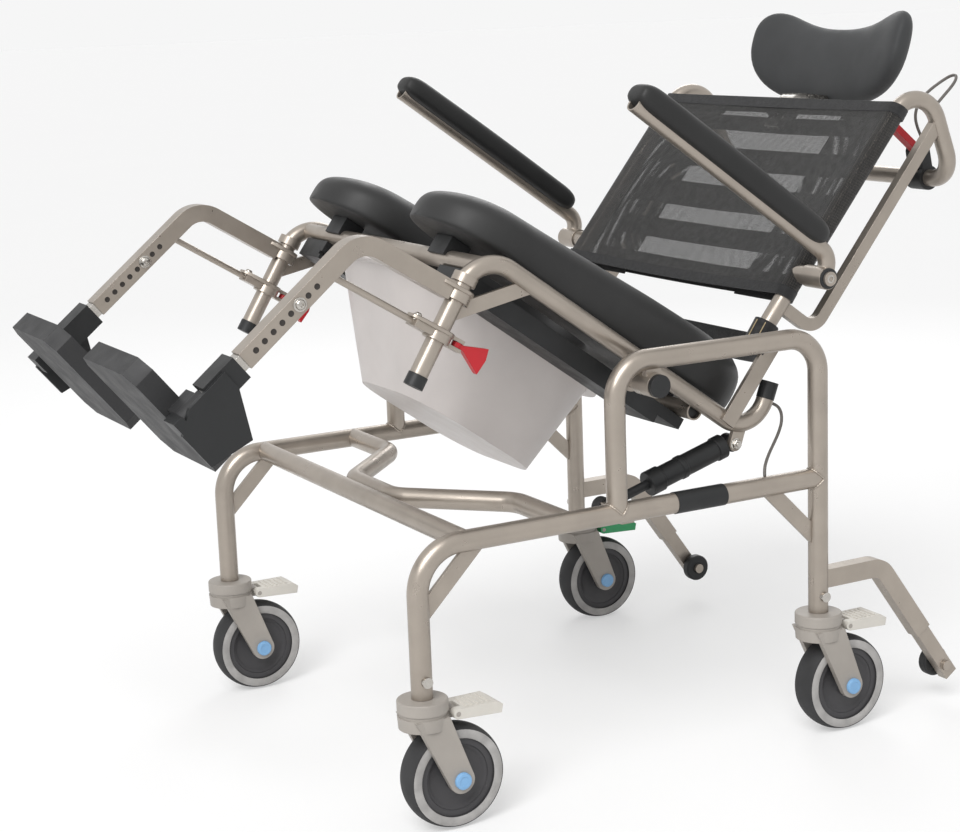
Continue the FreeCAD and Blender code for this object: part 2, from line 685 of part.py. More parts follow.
def seat_rail_path():
    """Return the left seat tube from the hanger post to the curled end."""
    turn = math.radians(CURL_TURN_DEG)
    reach = CURL_R * math.tan(turn / 2)
    corner = vec(SEAT_HALF_WIDTH, CURL_START_U + reach, SEAT_RAIL_W)
    end = corner + vec(0, math.cos(turn), math.sin(turn)) * (reach + 1)
    return [hanger_point(HANGER_LENGTH), hanger_point(0), corner, end]


def seat_rail_rod(diameter):
    """Return the left seat tube as a solid bar."""
    return bent_rod(seat_rail_path(), [SEAT_BEND_R, CURL_R], diameter)


def back_path():
    """Return the back tube from one post over the push handle to the other."""
    lean = math.tan(math.radians(BACK_LEAN_DEG))
    top_u = BACK_BASE_U + lean * (HANDLE_TOP_W - BACK_BASE_W)
    half = [
        (BACK_BASE_U, BACK_BASE_W),
        (top_u, HANDLE_TOP_W),
        (HANDLE_BAR_U, HANDLE_BAR_W),
    ]
    near = [vec(SEAT_HALF_WIDTH, u, w) for u, w in half]
    far = [vec(-SEAT_HALF_WIDTH, u, w) for u, w in reversed(half)]
    return near + far


def back_u(w):
    """Return how far to the rear a back post is at a height."""
    return BACK_BASE_U + math.tan(math.radians(BACK_LEAN_DEG)) * (w - BACK_BASE_W)


def build_seat_frame():
    """Make the tilting frame: seat rails, cross tubes, back tube and braces."""
    path = seat_rail_path()
    rail_rod = seat_rail_rod(SEAT_TUBE_OD)
    rail_bore = seat_rail_rod(SEAT_TUBE_OD - 2 * SEAT_TUBE_WALL)
    tube_r = SEAT_TUBE_OD / 2

    lug_x = SEAT_HALF_WIDTH - BRACE_THICK / 2
    lug = box(lug_x, lug_x + BRACE_THICK, -PIVOT_BOSS_R, PIVOT_BOSS_R, 0, SEAT_RAIL_W)
    lug = lug.fuse(disc_x(lug_x, lug_x + BRACE_THICK, 0, 0, PIVOT_BOSS_R))
    pin_end = BASE_HALF_WIDTH + TUBE_OD / 2 + FACE_GAP
    pin = disc_x(lug_x, pin_end, 0, 0, PIVOT_PIN_R)
    collar_at = hanger_point(COLLAR_DROP)
    collar = Part.makeCylinder(COLLAR_R, COLLAR_HEIGHT, collar_at, hanger_down())
    rail = rail_rod.fuse([lug, pin, collar])
    right_rail = mirrored(rail.cut(rail_bore))

    head_x0 = STRUT_X + STRUT_EYE_WIDTH / 2 + FACE_GAP
    head = flat_bar(vec(0, STRUT_HEAD_U, STRUT_HEAD_W), vec(0, STRUT_HEAD_U - 8, SEAT_RAIL_W + 8),
                    head_x0, head_x0 + BRACE_THICK, 2 * STRUT_LUG_HALF)
    head = head.fuse(disc_x(head_x0, head_x0 + BRACE_THICK, STRUT_HEAD_U, STRUT_HEAD_W, STRUT_LUG_HALF))
    head_pin = disc_x(STRUT_X - STRUT_EYE_WIDTH / 2 - FACE_GAP - 4, head_x0 + BRACE_THICK,
                      STRUT_HEAD_U, STRUT_HEAD_W, STRUT_PIN_R)
    left_rail = rail.fuse([head, head_pin]).cut(rail_bore)
    add_tilted("seat_rail_left", left_rail)
    add_tilted("seat_rail_right", right_rail)

    rails = [rail_rod, mirrored(rail_rod)]
    cross_x = SEAT_HALF_WIDTH - tube_r * 0.4
    cross_tubes = []
    for cross_u in (FRONT_CROSS_U, REAR_CROSS_U):
        ends = [vec(-cross_x, cross_u, CROSS_W), vec(cross_x, cross_u, CROSS_W)]
        cross_tubes.append(bent_tube(ends, [], SEAT_TUBE_OD, SEAT_TUBE_WALL).cut(rails))
    add_tilted("seat_cross_tubes", *cross_tubes)

    bend_radii = [HANDLE_BEND_R] * 4
    back_rod = bent_rod(back_path(), bend_radii, SEAT_TUBE_OD)
    back_bore = bent_rod(back_path(), bend_radii, SEAT_TUBE_OD - 2 * SEAT_TUBE_WALL)
    arm_pin = disc_x(SEAT_HALF_WIDTH, ARM_HUB_OUT + FACE_GAP, back_u(ARM_PIVOT_W), ARM_PIVOT_W, ARM_PIN_R)
    arm_washer = disc_x(SEAT_HALF_WIDTH, ARM_HUB_IN - FACE_GAP,
                        back_u(ARM_PIVOT_W), ARM_PIVOT_W, ARM_WASHER_R)
    arm_head = disc_x(ARM_HUB_OUT + FACE_GAP, ARM_HUB_OUT + FACE_GAP + 5, back_u(ARM_PIVOT_W), ARM_PIVOT_W,
                      ARM_PIN_R * 1.5)
    arm_stub = arm_pin.fuse([arm_washer, arm_head])
    back = back_rod.fuse([arm_stub, mirrored(arm_stub)]).cut(back_bore)
    add_tilted("back_frame", back)

    brace_x = SEAT_HALF_WIDTH + tube_r - BRACE_THICK * 0.45
    brace = flat_bar(vec(0, BRACE_FOOT_U, SEAT_RAIL_W - tube_r * 0.5), vec(0, BRACE_HEAD_U, BRACE_HEAD_W),
                     brace_x, brace_x + BRACE_THICK, BRACE_WIDTH).cut([rail_rod, back_rod])
    gusset_x = SEAT_HALF_WIDTH - BRACE_THICK / 2
    post_at = hanger_point(SEAT_GUSSET_DROP)
    gusset = flat_bar(vec(0, SEAT_CORNER_U + SEAT_GUSSET_REACH, SEAT_RAIL_W), vec(0, post_at.y, post_at.z),
                      gusset_x, gusset_x + BRACE_THICK, BRACE_WIDTH * 0.85)
    eye_room = Part.makeCylinder(LEG_EYE_R + EYE_ROOM, LEG_ARM_DROP + LEG_EYE_HEIGHT / 2 + EYE_ROOM,
                                 hanger_point(0), hanger_down())
    gusset = gusset.cut([rail_rod, eye_room])
    gusset = max(gusset.Solids, key=lambda solid: solid.Volume)
    brace = max(brace.Solids, key=lambda solid: solid.Volume)
    add_tilted("frame_braces", brace, gusset, mirrored(brace), mirrored(gusset))

    stay_u = back_u(STAY_FOOT_W) + STAY_OFFSET
    top_u = back_u(HANDLE_TOP_W) + STAY_OFFSET
    stay_path = [
        vec(SEAT_HALF_WIDTH, back_u(STAY_FOOT_W), STAY_FOOT_W),
        vec(SEAT_HALF_WIDTH, stay_u, STAY_FOOT_W),
        vec(SEAT_HALF_WIDTH, top_u, HANDLE_TOP_W),
    ]
    stay = bent_bar(stay_path, [STAY_BEND_R], STAY_WIDTH, STAY_DEPTH).cut(back_rod)
    stay = max(stay.Solids, key=lambda solid: solid.BoundBox.ZLength)
    add_tilted("rear_stays", stay, mirrored(stay))

    caps = []
    hanger_cap = Part.makeCylinder(tube_r + 1, HANGER_CAP_LENGTH,
                                   hanger_point(HANGER_LENGTH), hanger_down())
    curl_along = (path[3] - path[2]).normalize()
    curl_cap = Part.makeCylinder(tube_r + 0.5, CURL_CAP_LENGTH, path[3], curl_along)
    pivot_cap = disc_x(pin_end, pin_end + PIVOT_CAP_THICK, 0, 0, PIVOT_BOSS_R - 1)
    for cap in (hanger_cap, curl_cap, pivot_cap):
        caps.append(cap)
        caps.append(mirrored(cap))
    add_tilted("tube_caps", *caps)


# Gas strut: a barrel hung from the seat frame and a rod that reaches the base rail

def seat_to_chair(x, u, w):
    """Return the place on the chair of a point of the level seat frame."""
    tilt = math.radians(REST_TILT_DEG)
    return vec(x, PIVOT_Y + u * math.cos(tilt) + w * math.sin(tilt),
               PIVOT_Z - u * math.sin(tilt) + w * math.cos(tilt))


def build_strut():
    """Make the strut between its two pivots."""
    head = seat_to_chair(STRUT_X, STRUT_HEAD_U, STRUT_HEAD_W)
    foot = vec(STRUT_X, STRUT_FOOT_Y, STRUT_FOOT_Z)
    along = (foot - head).normalize()
    half_eye = STRUT_EYE_WIDTH / 2
    head_eye = disc_x(STRUT_X - half_eye, STRUT_X + half_eye, head.y, head.z, STRUT_EYE_R)
    head_hole = disc_x(STRUT_X - half_eye, STRUT_X + half_eye, head.y, head.z, STRUT_PIN_R + RUN_CLEARANCE)
    barrel = Part.makeCylinder(STRUT_BARREL_R, STRUT_BARREL_LENGTH, head + along * STRUT_EYE_R, along)
    rod_depth = STRUT_EYE_R + STRUT_BARREL_LENGTH - STRUT_ROD_ENGAGED
    barrel_bore = Part.makeCylinder(STRUT_ROD_R + RUN_CLEARANCE, STRUT_BARREL_LENGTH,
                                    head + along * rod_depth, along)
    add("strut_barrel", head_eye.fuse(barrel).cut([head_hole, barrel_bore]))

    rod_start = head + along * (rod_depth + FACE_GAP)
    rod = rod_between(rod_start, foot - along * (STRUT_EYE_R * 0.9), STRUT_ROD_R)
    foot_eye = disc_x(STRUT_X - half_eye + FACE_GAP, STRUT_X + half_eye, foot.y, foot.z, STRUT_FOOT_EYE_R)
    foot_hole = disc_x(STRUT_X - half_eye, STRUT_X + half_eye, foot.y, foot.z,
                       STRUT_PIN_R + STRUT_PIVOT_PLAY)
    add("strut_rod", rod.fuse(foot_eye).cut(foot_hole))


# Legrests: built upright on the hanger post, then hung on the leaning post

def hung(shape):
    """Move a shape drawn about an upright post on to the leaning hanger post."""
    moved = shape.copy()
    moved.rotate(ORIGIN, AXIS_X, HANGER_LEAN_DEG)
    moved.translate(vec(0, SEAT_CORNER_U, SEAT_RAIL_W))
    return moved


def on_leg(shape):
    """Move a shape drawn down an upright leg on to the splayed leg tube."""
    moved = shape.copy()
    moved.rotate(ORIGIN, AXIS_X, -LEG_SPLAY_DEG)
    moved.translate(vec(0, -LEG_REACH, -LEG_ARM_DROP))
    return hung(moved)


def add_pair(name, solid):
    """Keep a left piece of the seat frame and its right twin."""
    add_tilted(name + "_left", solid)
    add_tilted(name + "_right", mirrored(solid))


def build_legrests():
    """Make both swing-away legrests."""
    x = SEAT_HALF_WIDTH
    half_eye = LEG_EYE_HEIGHT / 2
    splay = math.radians(LEG_SPLAY_DEG)
    corner = vec(x, -LEG_REACH, -LEG_ARM_DROP)
    leg_end = corner + vec(0, -math.sin(splay), -math.cos(splay)) * LEG_OUTER_LENGTH
    path = [vec(x, -LEG_EYE_R * 0.8, -LEG_ARM_DROP), corner, leg_end]
    tube = bent_bar(path, [LEG_BEND_IN_R], LEG_TUBE, LEG_TUBE)
    inside = LEG_TUBE - 2 * LEG_WALL
    hollow = bent_bar(path, [LEG_BEND_IN_R], inside, inside)
    upper_eye = Part.makeCylinder(LEG_EYE_R, LEG_EYE_HEIGHT, vec(x, 0, -LEG_ARM_DROP - half_eye))
    lower_eye = Part.makeCylinder(LEG_EYE_R, LEG_EYE_HEIGHT, vec(x, 0, -CLAMP_DROP - half_eye))
    clamp = box(x - LEG_EYE_R * 0.7, x + LEG_EYE_R * 0.7, -LEG_EYE_R * 2.3, 0,
                -CLAMP_DROP - half_eye * 0.7, -CLAMP_DROP + half_eye * 0.7)
    brace_end = -LEG_REACH - (CLAMP_DROP - LEG_ARM_DROP) * math.tan(splay)
    brace = rod_between(vec(x, -LEG_EYE_R, -CLAMP_DROP), vec(x, brace_end, -CLAMP_DROP), BRACE_ROD_R)
    ear_thick = half_eye - LEVER_PIN_R - FACE_GAP
    ear_end = LEVER_PIN_U + 2 * LEVER_PIN_R
    clamp_top = -CLAMP_DROP + half_eye
    clamp_bottom = -CLAMP_DROP - half_eye
    upper_ear = box(x - EAR_HALF, x + EAR_HALF, LEG_EYE_R * 0.5, ear_end, clamp_top - ear_thick, clamp_top)
    lower_ear = box(x - EAR_HALF, x + EAR_HALF, LEG_EYE_R * 0.5, ear_end,
                    clamp_bottom, clamp_bottom + ear_thick)
    pin = Part.makeCylinder(LEVER_PIN_R, LEG_EYE_HEIGHT, vec(x, LEVER_PIN_U, -CLAMP_DROP - half_eye))
    post_bore = Part.makeCylinder(SEAT_TUBE_OD / 2 + RUN_CLEARANCE, HANGER_LENGTH,
                                  vec(x, 0, -HANGER_LENGTH))
    legrest = tube.fuse([upper_eye, lower_eye, clamp, brace, upper_ear, lower_ear, pin])
    add_pair("legrest_tube", hung(legrest.cut([hollow, post_bore])))

    hub_half = LEVER_PIN_R
    neck_end = ear_end + 3
    outline = [
        vec(x - LEVER_THICK / 2, LEVER_PIN_U, -CLAMP_DROP - hub_half),
        vec(x - LEVER_THICK / 2, neck_end, -CLAMP_DROP - hub_half),
        vec(x - LEVER_THICK / 2, LEVER_REACH, -CLAMP_DROP - LEVER_TIP_HALF),
        vec(x - LEVER_THICK / 2, LEVER_REACH + 3, -CLAMP_DROP),
        vec(x - LEVER_THICK / 2, LEVER_REACH, -CLAMP_DROP + LEVER_TIP_HALF * 0.7),
        vec(x - LEVER_THICK / 2, neck_end, -CLAMP_DROP + hub_half),
        vec(x - LEVER_THICK / 2, LEVER_PIN_U, -CLAMP_DROP + hub_half),
    ]
    paddle = Part.Face(Part.makePolygon(outline + [outline[0]])).extrude(AXIS_X * LEVER_THICK)
    lever_hub = Part.makeCylinder(LEVER_PIN_R * 2, 2 * hub_half,
                                  vec(x, LEVER_PIN_U, -CLAMP_DROP - hub_half))
    lever_hole = Part.makeCylinder(LEVER_PIN_R + RUN_CLEARANCE, LEG_EYE_HEIGHT,
                                   vec(x, LEVER_PIN_U, -CLAMP_DROP - half_eye))
    add_pair("release_lever", hung(paddle.fuse(lever_hub).cut(lever_hole)))

    slide_half = inside / 2 - RUN_CLEARANCE
    slide = box(x - slide_half, x + slide_half, -slide_half, slide_half, -SLEEVE_BOTTOM, -SLIDE_TOP)
    foot_rod = Part.makeCylinder(FOOT_ROD_R, FOOT_ROD_END - SLEEVE_BOTTOM, vec(x, 0, -FOOT_ROD_END))
    extension = slide.fuse(foot_rod)
    add_pair("legrest_extension", on_leg(extension))

    sleeve = box(x - SLEEVE_HALF, x + SLEEVE_HALF, -SLEEVE_HALF, SLEEVE_HALF, -SLEEVE_BOTTOM, -SLEEVE_TOP)
    guard_x = x + FOOT_KNUCKLE_R + 1
    guard_outline = [
        vec(guard_x, -12, -SLEEVE_TOP - 18),
        vec(guard_x, 12, -SLEEVE_TOP - 18),
        vec(guard_x, GUARD_REACH, -KNUCKLE_TOP + 3),
        vec(guard_x, GUARD_REACH - 13, -FOOT_ROD_END - 4),
        vec(guard_x, 5, -FOOT_ROD_END - 4),
        vec(guard_x, -12, -KNUCKLE_BOTTOM + 11),
    ]
    guard = Part.Face(Part.makePolygon(guard_outline + [guard_outline[0]])).extrude(AXIS_X * GUARD_THICK)
    bearing = box(x - FOOT_KNUCKLE_R, guard_x + GUARD_THICK, -FOOT_KNUCKLE_R, FOOT_KNUCKLE_R,
                  -FOOT_ROD_END - 2, -KNUCKLE_BOTTOM - FACE_GAP)
    add_pair("footplate_hanger", on_leg(sleeve.fuse([guard, bearing]).cut(extension)))

    plate = box(PLATE_INNER_X, PLATE_OUTER_X, -PLATE_TOE, PLATE_HEEL, -PLATE_TOP - PLATE_THICK, -PLATE_TOP)
    corner_edges = [edge for edge in plate.Edges if abs(edge.tangentAt(edge.FirstParameter).z) > 0.9]
    plate = plate.makeChamfer(PLATE_CHAMFER, corner_edges)
    arm = box(PLATE_OUTER_X - 4, x, -FOOT_KNUCKLE_R * 0.95, FOOT_KNUCKLE_R * 0.95,
              -KNUCKLE_BOTTOM, -KNUCKLE_TOP - 4)
    knuckle = Part.makeCylinder(FOOT_KNUCKLE_R, KNUCKLE_BOTTOM - KNUCKLE_TOP - FACE_GAP,
                                vec(x, 0, -KNUCKLE_BOTTOM))
    plate_hole = Part.makeCylinder(FOOT_ROD_R + RUN_CLEARANCE, FOOT_ROD_END, vec(x, 0, -FOOT_ROD_END))
    add_pair("footplate", on_leg(plate.fuse([arm, knuckle]).cut(plate_hole)))


# Armrests: a bent tube that flips up about the back post, with a pad on it

def build_armrests():
    """Make both armrests."""
    pivot_u = back_u(ARM_PIVOT_W)
    path = [
        vec(ARM_X, ARM_FRONT_U, ARM_W),
        vec(ARM_X, pivot_u, ARM_W),
        vec(ARM_X, pivot_u, ARM_PIVOT_W),
    ]
    rod = bent_rod(path, [ARM_BEND_R], ARM_TUBE_OD)
    bore = bent_rod(path, [ARM_BEND_R], ARM_TUBE_OD - 2 * SEAT_TUBE_WALL)
    hub = disc_x(ARM_HUB_IN, ARM_HUB_OUT, pivot_u, ARM_PIVOT_W, ARM_HUB_R)
    hole = disc_x(ARM_HUB_IN, ARM_HUB_OUT, pivot_u, ARM_PIVOT_W, ARM_PIN_R + RUN_CLEARANCE)
    add_pair("armrest_bar", rod.cut(bore).fuse(hub).cut(hole))

    sections = []
    pad_front = ARM_FRONT_U - 4
    for share, size in ((0.0, 0.62), (0.02, 0.88), (0.06, 1.0), (0.94, 1.0), (0.98, 0.88), (1.0, 0.62)):
        u = pad_front + share * ARM_PAD_LENGTH
        half = ARM_PAD_WIDTH / 2 * size
        low = ARM_W + ARM_PAD_HEIGHT * 0.4 * (1 - size)
        high = ARM_W + ARM_PAD_HEIGHT * (0.45 + 0.55 * size)
        middle = (low + high) / 2
        edge_x = half * 0.8
        shoulder = high - ARM_PAD_CROWN
        points = [
            vec(ARM_X - edge_x, u, low),
            vec(ARM_X - half, u, middle),
            vec(ARM_X - edge_x, u, shoulder),
            vec(ARM_X, u, high),
            vec(ARM_X + edge_x, u, shoulder),
            vec(ARM_X + half, u, middle),
            vec(ARM_X + edge_x, u, low),
        ]
        edges = [
            Part.Arc(points[0], points[1], points[2]).toShape(),
            Part.Arc(points[2], points[3], points[4]).toShape(),
            Part.Arc(points[4], points[5], points[6]).toShape(),
            Part.LineSegment(points[6], points[0]).toShape(),
        ]
        sections.append(Part.Wire(edges))
    pad = Part.makeLoft(sections, True, True).cut(rod)
    pad = max(pad.Solids, key=lambda solid: solid.Volume)
    add_pair("armrest_pad", pad)


# Seat: a horseshoe cushion, a pan that slides out to the front and its rails

def cushion_outline(inset, w):
    """Return the horseshoe outline of the cushion, drawn in by an inset."""
    side = CUSHION_HALF_WIDTH - inset
    rear = CUSHION_REAR_U - inset
    rear_r = CUSHION_REAR_R - inset
    gap = APERTURE_HALF + inset
    lobe_r = (side - gap) / 2
    lobe_x = (side + gap) / 2
    tip_u = CUSHION_FRONT_U + inset + lobe_r
    hole_u = APERTURE_REAR_U - APERTURE_HALF
    waist = CUSHION_WAIST
    diagonal = math.sqrt(0.5)

    def arc(centre_x, centre_u, radius, x0, u0, x1, u1):
        """Return a quarter arc between two unit directions from a centre."""
        start = vec(centre_x + radius * x0, centre_u + radius * u0, w)
        end = vec(centre_x + radius * x1, centre_u + radius * u1, w)
        middle = vec(centre_x + radius * diagonal * (x0 + x1), centre_u + radius * diagonal * (u0 + u1), w)
        return Part.Arc(start, middle, end).toShape()

    def side_run(sign):
        """Return a side of the cushion, drawn in at its middle."""
        front = vec(sign * side, tip_u, w)
        back = vec(sign * side, rear - rear_r, w)
        middle = vec(sign * (side - waist), (tip_u + rear - rear_r) / 2, w)
        ends = (front, back) if sign > 0 else (back, front)
        return Part.Arc(ends[0], middle, ends[1]).toShape()

    edges = [
        side_run(1),
        arc(side - rear_r, rear - rear_r, rear_r, 1, 0, 0, 1),
        Part.LineSegment(vec(side - rear_r, rear, w), vec(rear_r - side, rear, w)).toShape(),
        arc(rear_r - side, rear - rear_r, rear_r, 0, 1, -1, 0),
        side_run(-1),
        arc(-lobe_x, tip_u, lobe_r, -1, 0, 0, -1),
        arc(-lobe_x, tip_u, lobe_r, 0, -1, 1, 0),
        Part.LineSegment(vec(-gap, tip_u, w), vec(-gap, hole_u, w)).toShape(),
        arc(0, hole_u, gap, -1, 0, 0, 1),
        arc(0, hole_u, gap, 0, 1, 1, 0),
        Part.LineSegment(vec(gap, hole_u, w), vec(gap, tip_u, w)).toShape(),
        arc(lobe_x, tip_u, lobe_r, -1, 0, 0, -1),
        arc(lobe_x, tip_u, lobe_r, 0, -1, 1, 0),
    ]
    return Part.Wire(edges)


def build_cushion():
    """Make the crowned seat cushion, which grows thicker to the rear."""
    levels = ((0.0, 10.0), (0.2, 3.0), (0.42, 0.0), (0.66, 3.0), (0.85, 10.0), (0.95, 21.0), (1.0, 38.0))
    hinge = vec(0, CUSHION_FRONT_U, CUSHION_W)
    outlines = []
    for share, inset in levels:
        outline = cushion_outline(inset, CUSHION_W + share * CUSHION_HEIGHT)
        outline.rotate(hinge, AXIS_X, share * CUSHION_RISE_DEG)
        outlines.append(outline)
    add_tilted("seat_cushion", Part.makeLoft(outlines, True, True))


def rounded_rect(half_x, u0, u1, radius, w):
    """Return a level rectangle with round corners."""
    diagonal = radius * (1 - math.sqrt(0.5))
    edges = []
    corners = ((1, u1, -1), (-1, u1, -1), (-1, u0, 1), (1, u0, 1))
    last = vec(half_x, u0 + radius, w)
    for index, (sign, u, inward) in enumerate(corners):
        along_u = vec(sign * half_x, u + inward * radius, w)
        along_x = vec(sign * (half_x - radius), u, w)
        middle = vec(sign * (half_x - diagonal), u + inward * diagonal, w)
        first, second = (along_u, along_x) if index % 2 == 0 else (along_x, along_u)
        edges.append(Part.LineSegment(last, first).toShape())
        edges.append(Part.Arc(first, middle, second).toShape())
        last = second
    return Part.Wire(edges)


def build_pan():
    """Make the commode pan, the two rails that carry its flange and the saddles of the seat."""
    def tub(grow, floor_w, top_w):
        floor = rounded_rect(PAN_FLOOR_HALF + grow, PAN_FLOOR_FRONT_U - grow, PAN_FLOOR_REAR_U + grow,
                             PAN_FLOOR_CORNER_R + grow, floor_w)
        top = rounded_rect(PAN_HALF_WIDTH + grow, PAN_FRONT_U - grow, PAN_REAR_U + grow,
                           PAN_CORNER_R + grow, top_w)
        return Part.makeLoft([floor, top], True, True)

    flange_top = PAN_RIM_W + PAN_FLANGE_THICK
    flange_edge = rounded_rect(PAN_HALF_WIDTH + PAN_FLANGE, PAN_FRONT_U - PAN_FLANGE, PAN_REAR_U + PAN_FLANGE,
                               PAN_CORNER_R + PAN_FLANGE, PAN_RIM_W)
    flange = Part.Face(flange_edge).extrude(AXIS_Z * PAN_FLANGE_THICK)
    mouth_edge = rounded_rect(PAN_HALF_WIDTH - PAN_WALL, PAN_FRONT_U + PAN_WALL, PAN_REAR_U - PAN_WALL,
                              PAN_CORNER_R - PAN_WALL, PAN_RIM_W)
    mouth = Part.Face(mouth_edge).extrude(AXIS_Z * PAN_FLANGE_THICK)
    inside = tub(-PAN_WALL, PAN_FLOOR_W + PAN_WALL, PAN_RIM_W)
    pan = tub(0, PAN_FLOOR_W, PAN_RIM_W).fuse(flange).cut([inside, mouth])
    add_tilted("commode_pan", pan)

    rail_in = PAN_HALF_WIDTH + PAN_FLANGE * 0.6
    rail_top = CROSS_W - SEAT_TUBE_OD / 2
    groove_out = PAN_HALF_WIDTH + PAN_FLANGE + FACE_GAP
    front = FRONT_CROSS_U - PAN_RAIL_OVERHANG
    rear = REAR_CROSS_U + PAN_RAIL_OVERHANG
    rail = box(rail_in, rail_in + PAN_RAIL_WIDTH, front, rear, PAN_RIM_W - PAN_FLANGE_THICK * 1.5, rail_top)
    groove = box(rail_in, groove_out, front, rear, PAN_RIM_W - FACE_GAP, flange_top + FACE_GAP)
    pan_end = PAN_REAR_U + PAN_FLANGE + PAN_RAIL_STOP
    relief = box(rail_in, rail_in + PAN_RAIL_WIDTH, pan_end, rear,
                 PAN_RIM_W - PAN_FLANGE_THICK * 1.5, flange_top + FACE_GAP)
    rail = rail.cut([groove, relief])

    saddles = []
    saddle_in = (CUSHION_HALF_WIDTH + APERTURE_HALF - SADDLE_WIDTH) / 2
    for cross_u in (FRONT_CROSS_U, REAR_CROSS_U):
        saddle = box(saddle_in, saddle_in + SADDLE_WIDTH,
                     cross_u - SADDLE_LENGTH / 2, cross_u + SADDLE_LENGTH / 2,
                     CROSS_W, CUSHION_W - FACE_GAP)
        saddle = saddle.cut(disc_x(saddle_in, saddle_in + SADDLE_WIDTH, cross_u, CROSS_W, SEAT_TUBE_OD / 2))
        saddles.append(max(saddle.Solids, key=lambda solid: solid.Volume))
        saddles.append(mirrored(saddles[-1]))
    add_tilted("pan_rails", rail, mirrored(rail), *saddles)


# Back sling: a sheet stretched over the posts, with sleeves and flaps behind

def build_sling():
    """Make the back sling."""
    inner_r = SEAT_TUBE_OD / 2 + FACE_GAP
    outer_r = inner_r + SLING_THICK
    x = SEAT_HALF_WIDTH
    flap_x = x - SLING_FLAP
    base_u = back_u(SLING_BOTTOM_W)

    def point(px, pu):
        return vec(px, base_u + pu, SLING_BOTTOM_W)

    edges = [
        Part.LineSegment(point(flap_x, outer_r), point(x, outer_r)).toShape(),
        Part.Arc(point(x, outer_r), point(x + outer_r, 0), point(x, -outer_r)).toShape(),
        Part.Arc(point(x, -outer_r), point(0, SLING_SAG - outer_r), point(-x, -outer_r)).toShape(),
        Part.Arc(point(-x, -outer_r), point(-x - outer_r, 0), point(-x, outer_r)).toShape(),
        Part.LineSegment(point(-x, outer_r), point(-flap_x, outer_r)).toShape(),
        Part.LineSegment(point(-flap_x, outer_r), point(-flap_x, inner_r)).toShape(),
        Part.LineSegment(point(-flap_x, inner_r), point(-x, inner_r)).toShape(),
        Part.Arc(point(-x, inner_r), point(-x - inner_r, 0), point(-x, -inner_r)).toShape(),
        Part.Arc(point(-x, -inner_r), point(0, SLING_SAG - inner_r), point(x, -inner_r)).toShape(),
        Part.Arc(point(x, -inner_r), point(x + inner_r, 0), point(x, inner_r)).toShape(),
        Part.LineSegment(point(x, inner_r), point(flap_x, inner_r)).toShape(),
        Part.LineSegment(point(flap_x, inner_r), point(flap_x, outer_r)).toShape(),
    ]
    rise = SLING_TOP_W - SLING_BOTTOM_W
    lean = vec(0, back_u(SLING_TOP_W) - base_u, rise)
    sling = Part.Face(Part.Wire(edges)).extrude(lean)
    notch = disc_x(x, ARM_HUB_OUT, back_u(ARM_PIVOT_W), ARM_PIVOT_W, ARM_HUB_R + 1)
    add_tilted("back_sling", sling.cut([notch, mirrored(notch)]))


# Headrest: a bar between the posts, a sliding stem and a winged pad

def build_headrest():
    """Make the headrest and return the bar that carries it."""
    bar_u = back_u(HEAD_BAR_W)
    half_height = HEAD_BAR_HEIGHT / 2
    half_depth = HEAD_BAR_DEPTH / 2
    back_rod = bent_rod(back_path(), [HANDLE_BEND_R] * 4, SEAT_TUBE_OD)
    bar = box(-SEAT_HALF_WIDTH, SEAT_HALF_WIDTH, bar_u - half_depth, bar_u + half_depth,
              HEAD_BAR_W - half_height, HEAD_BAR_W + half_height).cut(back_rod)
    bar = max(bar.Solids, key=lambda solid: solid.Volume)
    stem_u = bar_u + half_depth + HEAD_STEM_THICK / 2 + FACE_GAP
    half_stem = HEAD_STEM_WIDTH / 2
    clamp_half = half_stem + HEAD_CLAMP_SIDE
    clamp = box(-clamp_half, clamp_half, bar_u + half_depth, stem_u + HEAD_STEM_THICK / 2 + HEAD_CLAMP_BACK,
                HEAD_BAR_W - half_height, HEAD_BAR_W + half_height)
    slot = box(-half_stem - FACE_GAP, half_stem + FACE_GAP, stem_u - HEAD_STEM_THICK / 2 - FACE_GAP,
               stem_u + HEAD_STEM_THICK / 2 + FACE_GAP, HEAD_BAR_W - half_height, HEAD_BAR_W + half_height)
    headrest_bar = bar.fuse(clamp.cut(slot))

    stem_path = [
        vec(0, stem_u, HEAD_STEM_BOTTOM_W),
        vec(0, stem_u, HEAD_BAR_W + half_height + HEAD_RISE),
        vec(0, HEAD_PAD_U + HEAD_STEM_BACK, HEAD_PAD_W - HEAD_STEM_BELOW),
        vec(0, HEAD_PAD_U, HEAD_PAD_W),
    ]
    stem = bent_bar(stem_path, [HEAD_STEM_BEND_R] * 2, HEAD_STEM_WIDTH, HEAD_STEM_THICK)
    pad = Part.makeLoft([headrest_section(*station) for station in headrest_stations()], True, True)
    pad.rotate(ORIGIN, AXIS_X, HEAD_PAD_LEAN_DEG)
    pad.translate(vec(0, HEAD_PAD_U, HEAD_PAD_W))
    lower_stem = min(stem.cut(pad).Solids, key=lambda solid: solid.BoundBox.ZMin)
    add_tilted("headrest_stem", lower_stem)
    add_tilted("headrest_pad", pad)
    return headrest_bar


def headrest_stations():
    """Return half the pad's sections across the chair: place, low and high edge, bow and thickness."""
    half = [
        (0.0, -0.55, 0.50, 0.0, 1.0),
        (0.30, -0.54, 0.52, 0.06, 1.0),
        (0.58, -0.49, 0.62, 0.26, 1.0),
        (0.80, -0.36, 0.71, 0.56, 0.96),
        (0.94, -0.15, 0.62, 0.83, 0.82),
        (1.0, 0.08, 0.42, 1.0, 0.44),
    ]
    far = [(-share, *rest) for share, *rest in reversed(half[1:])]
    return far + half


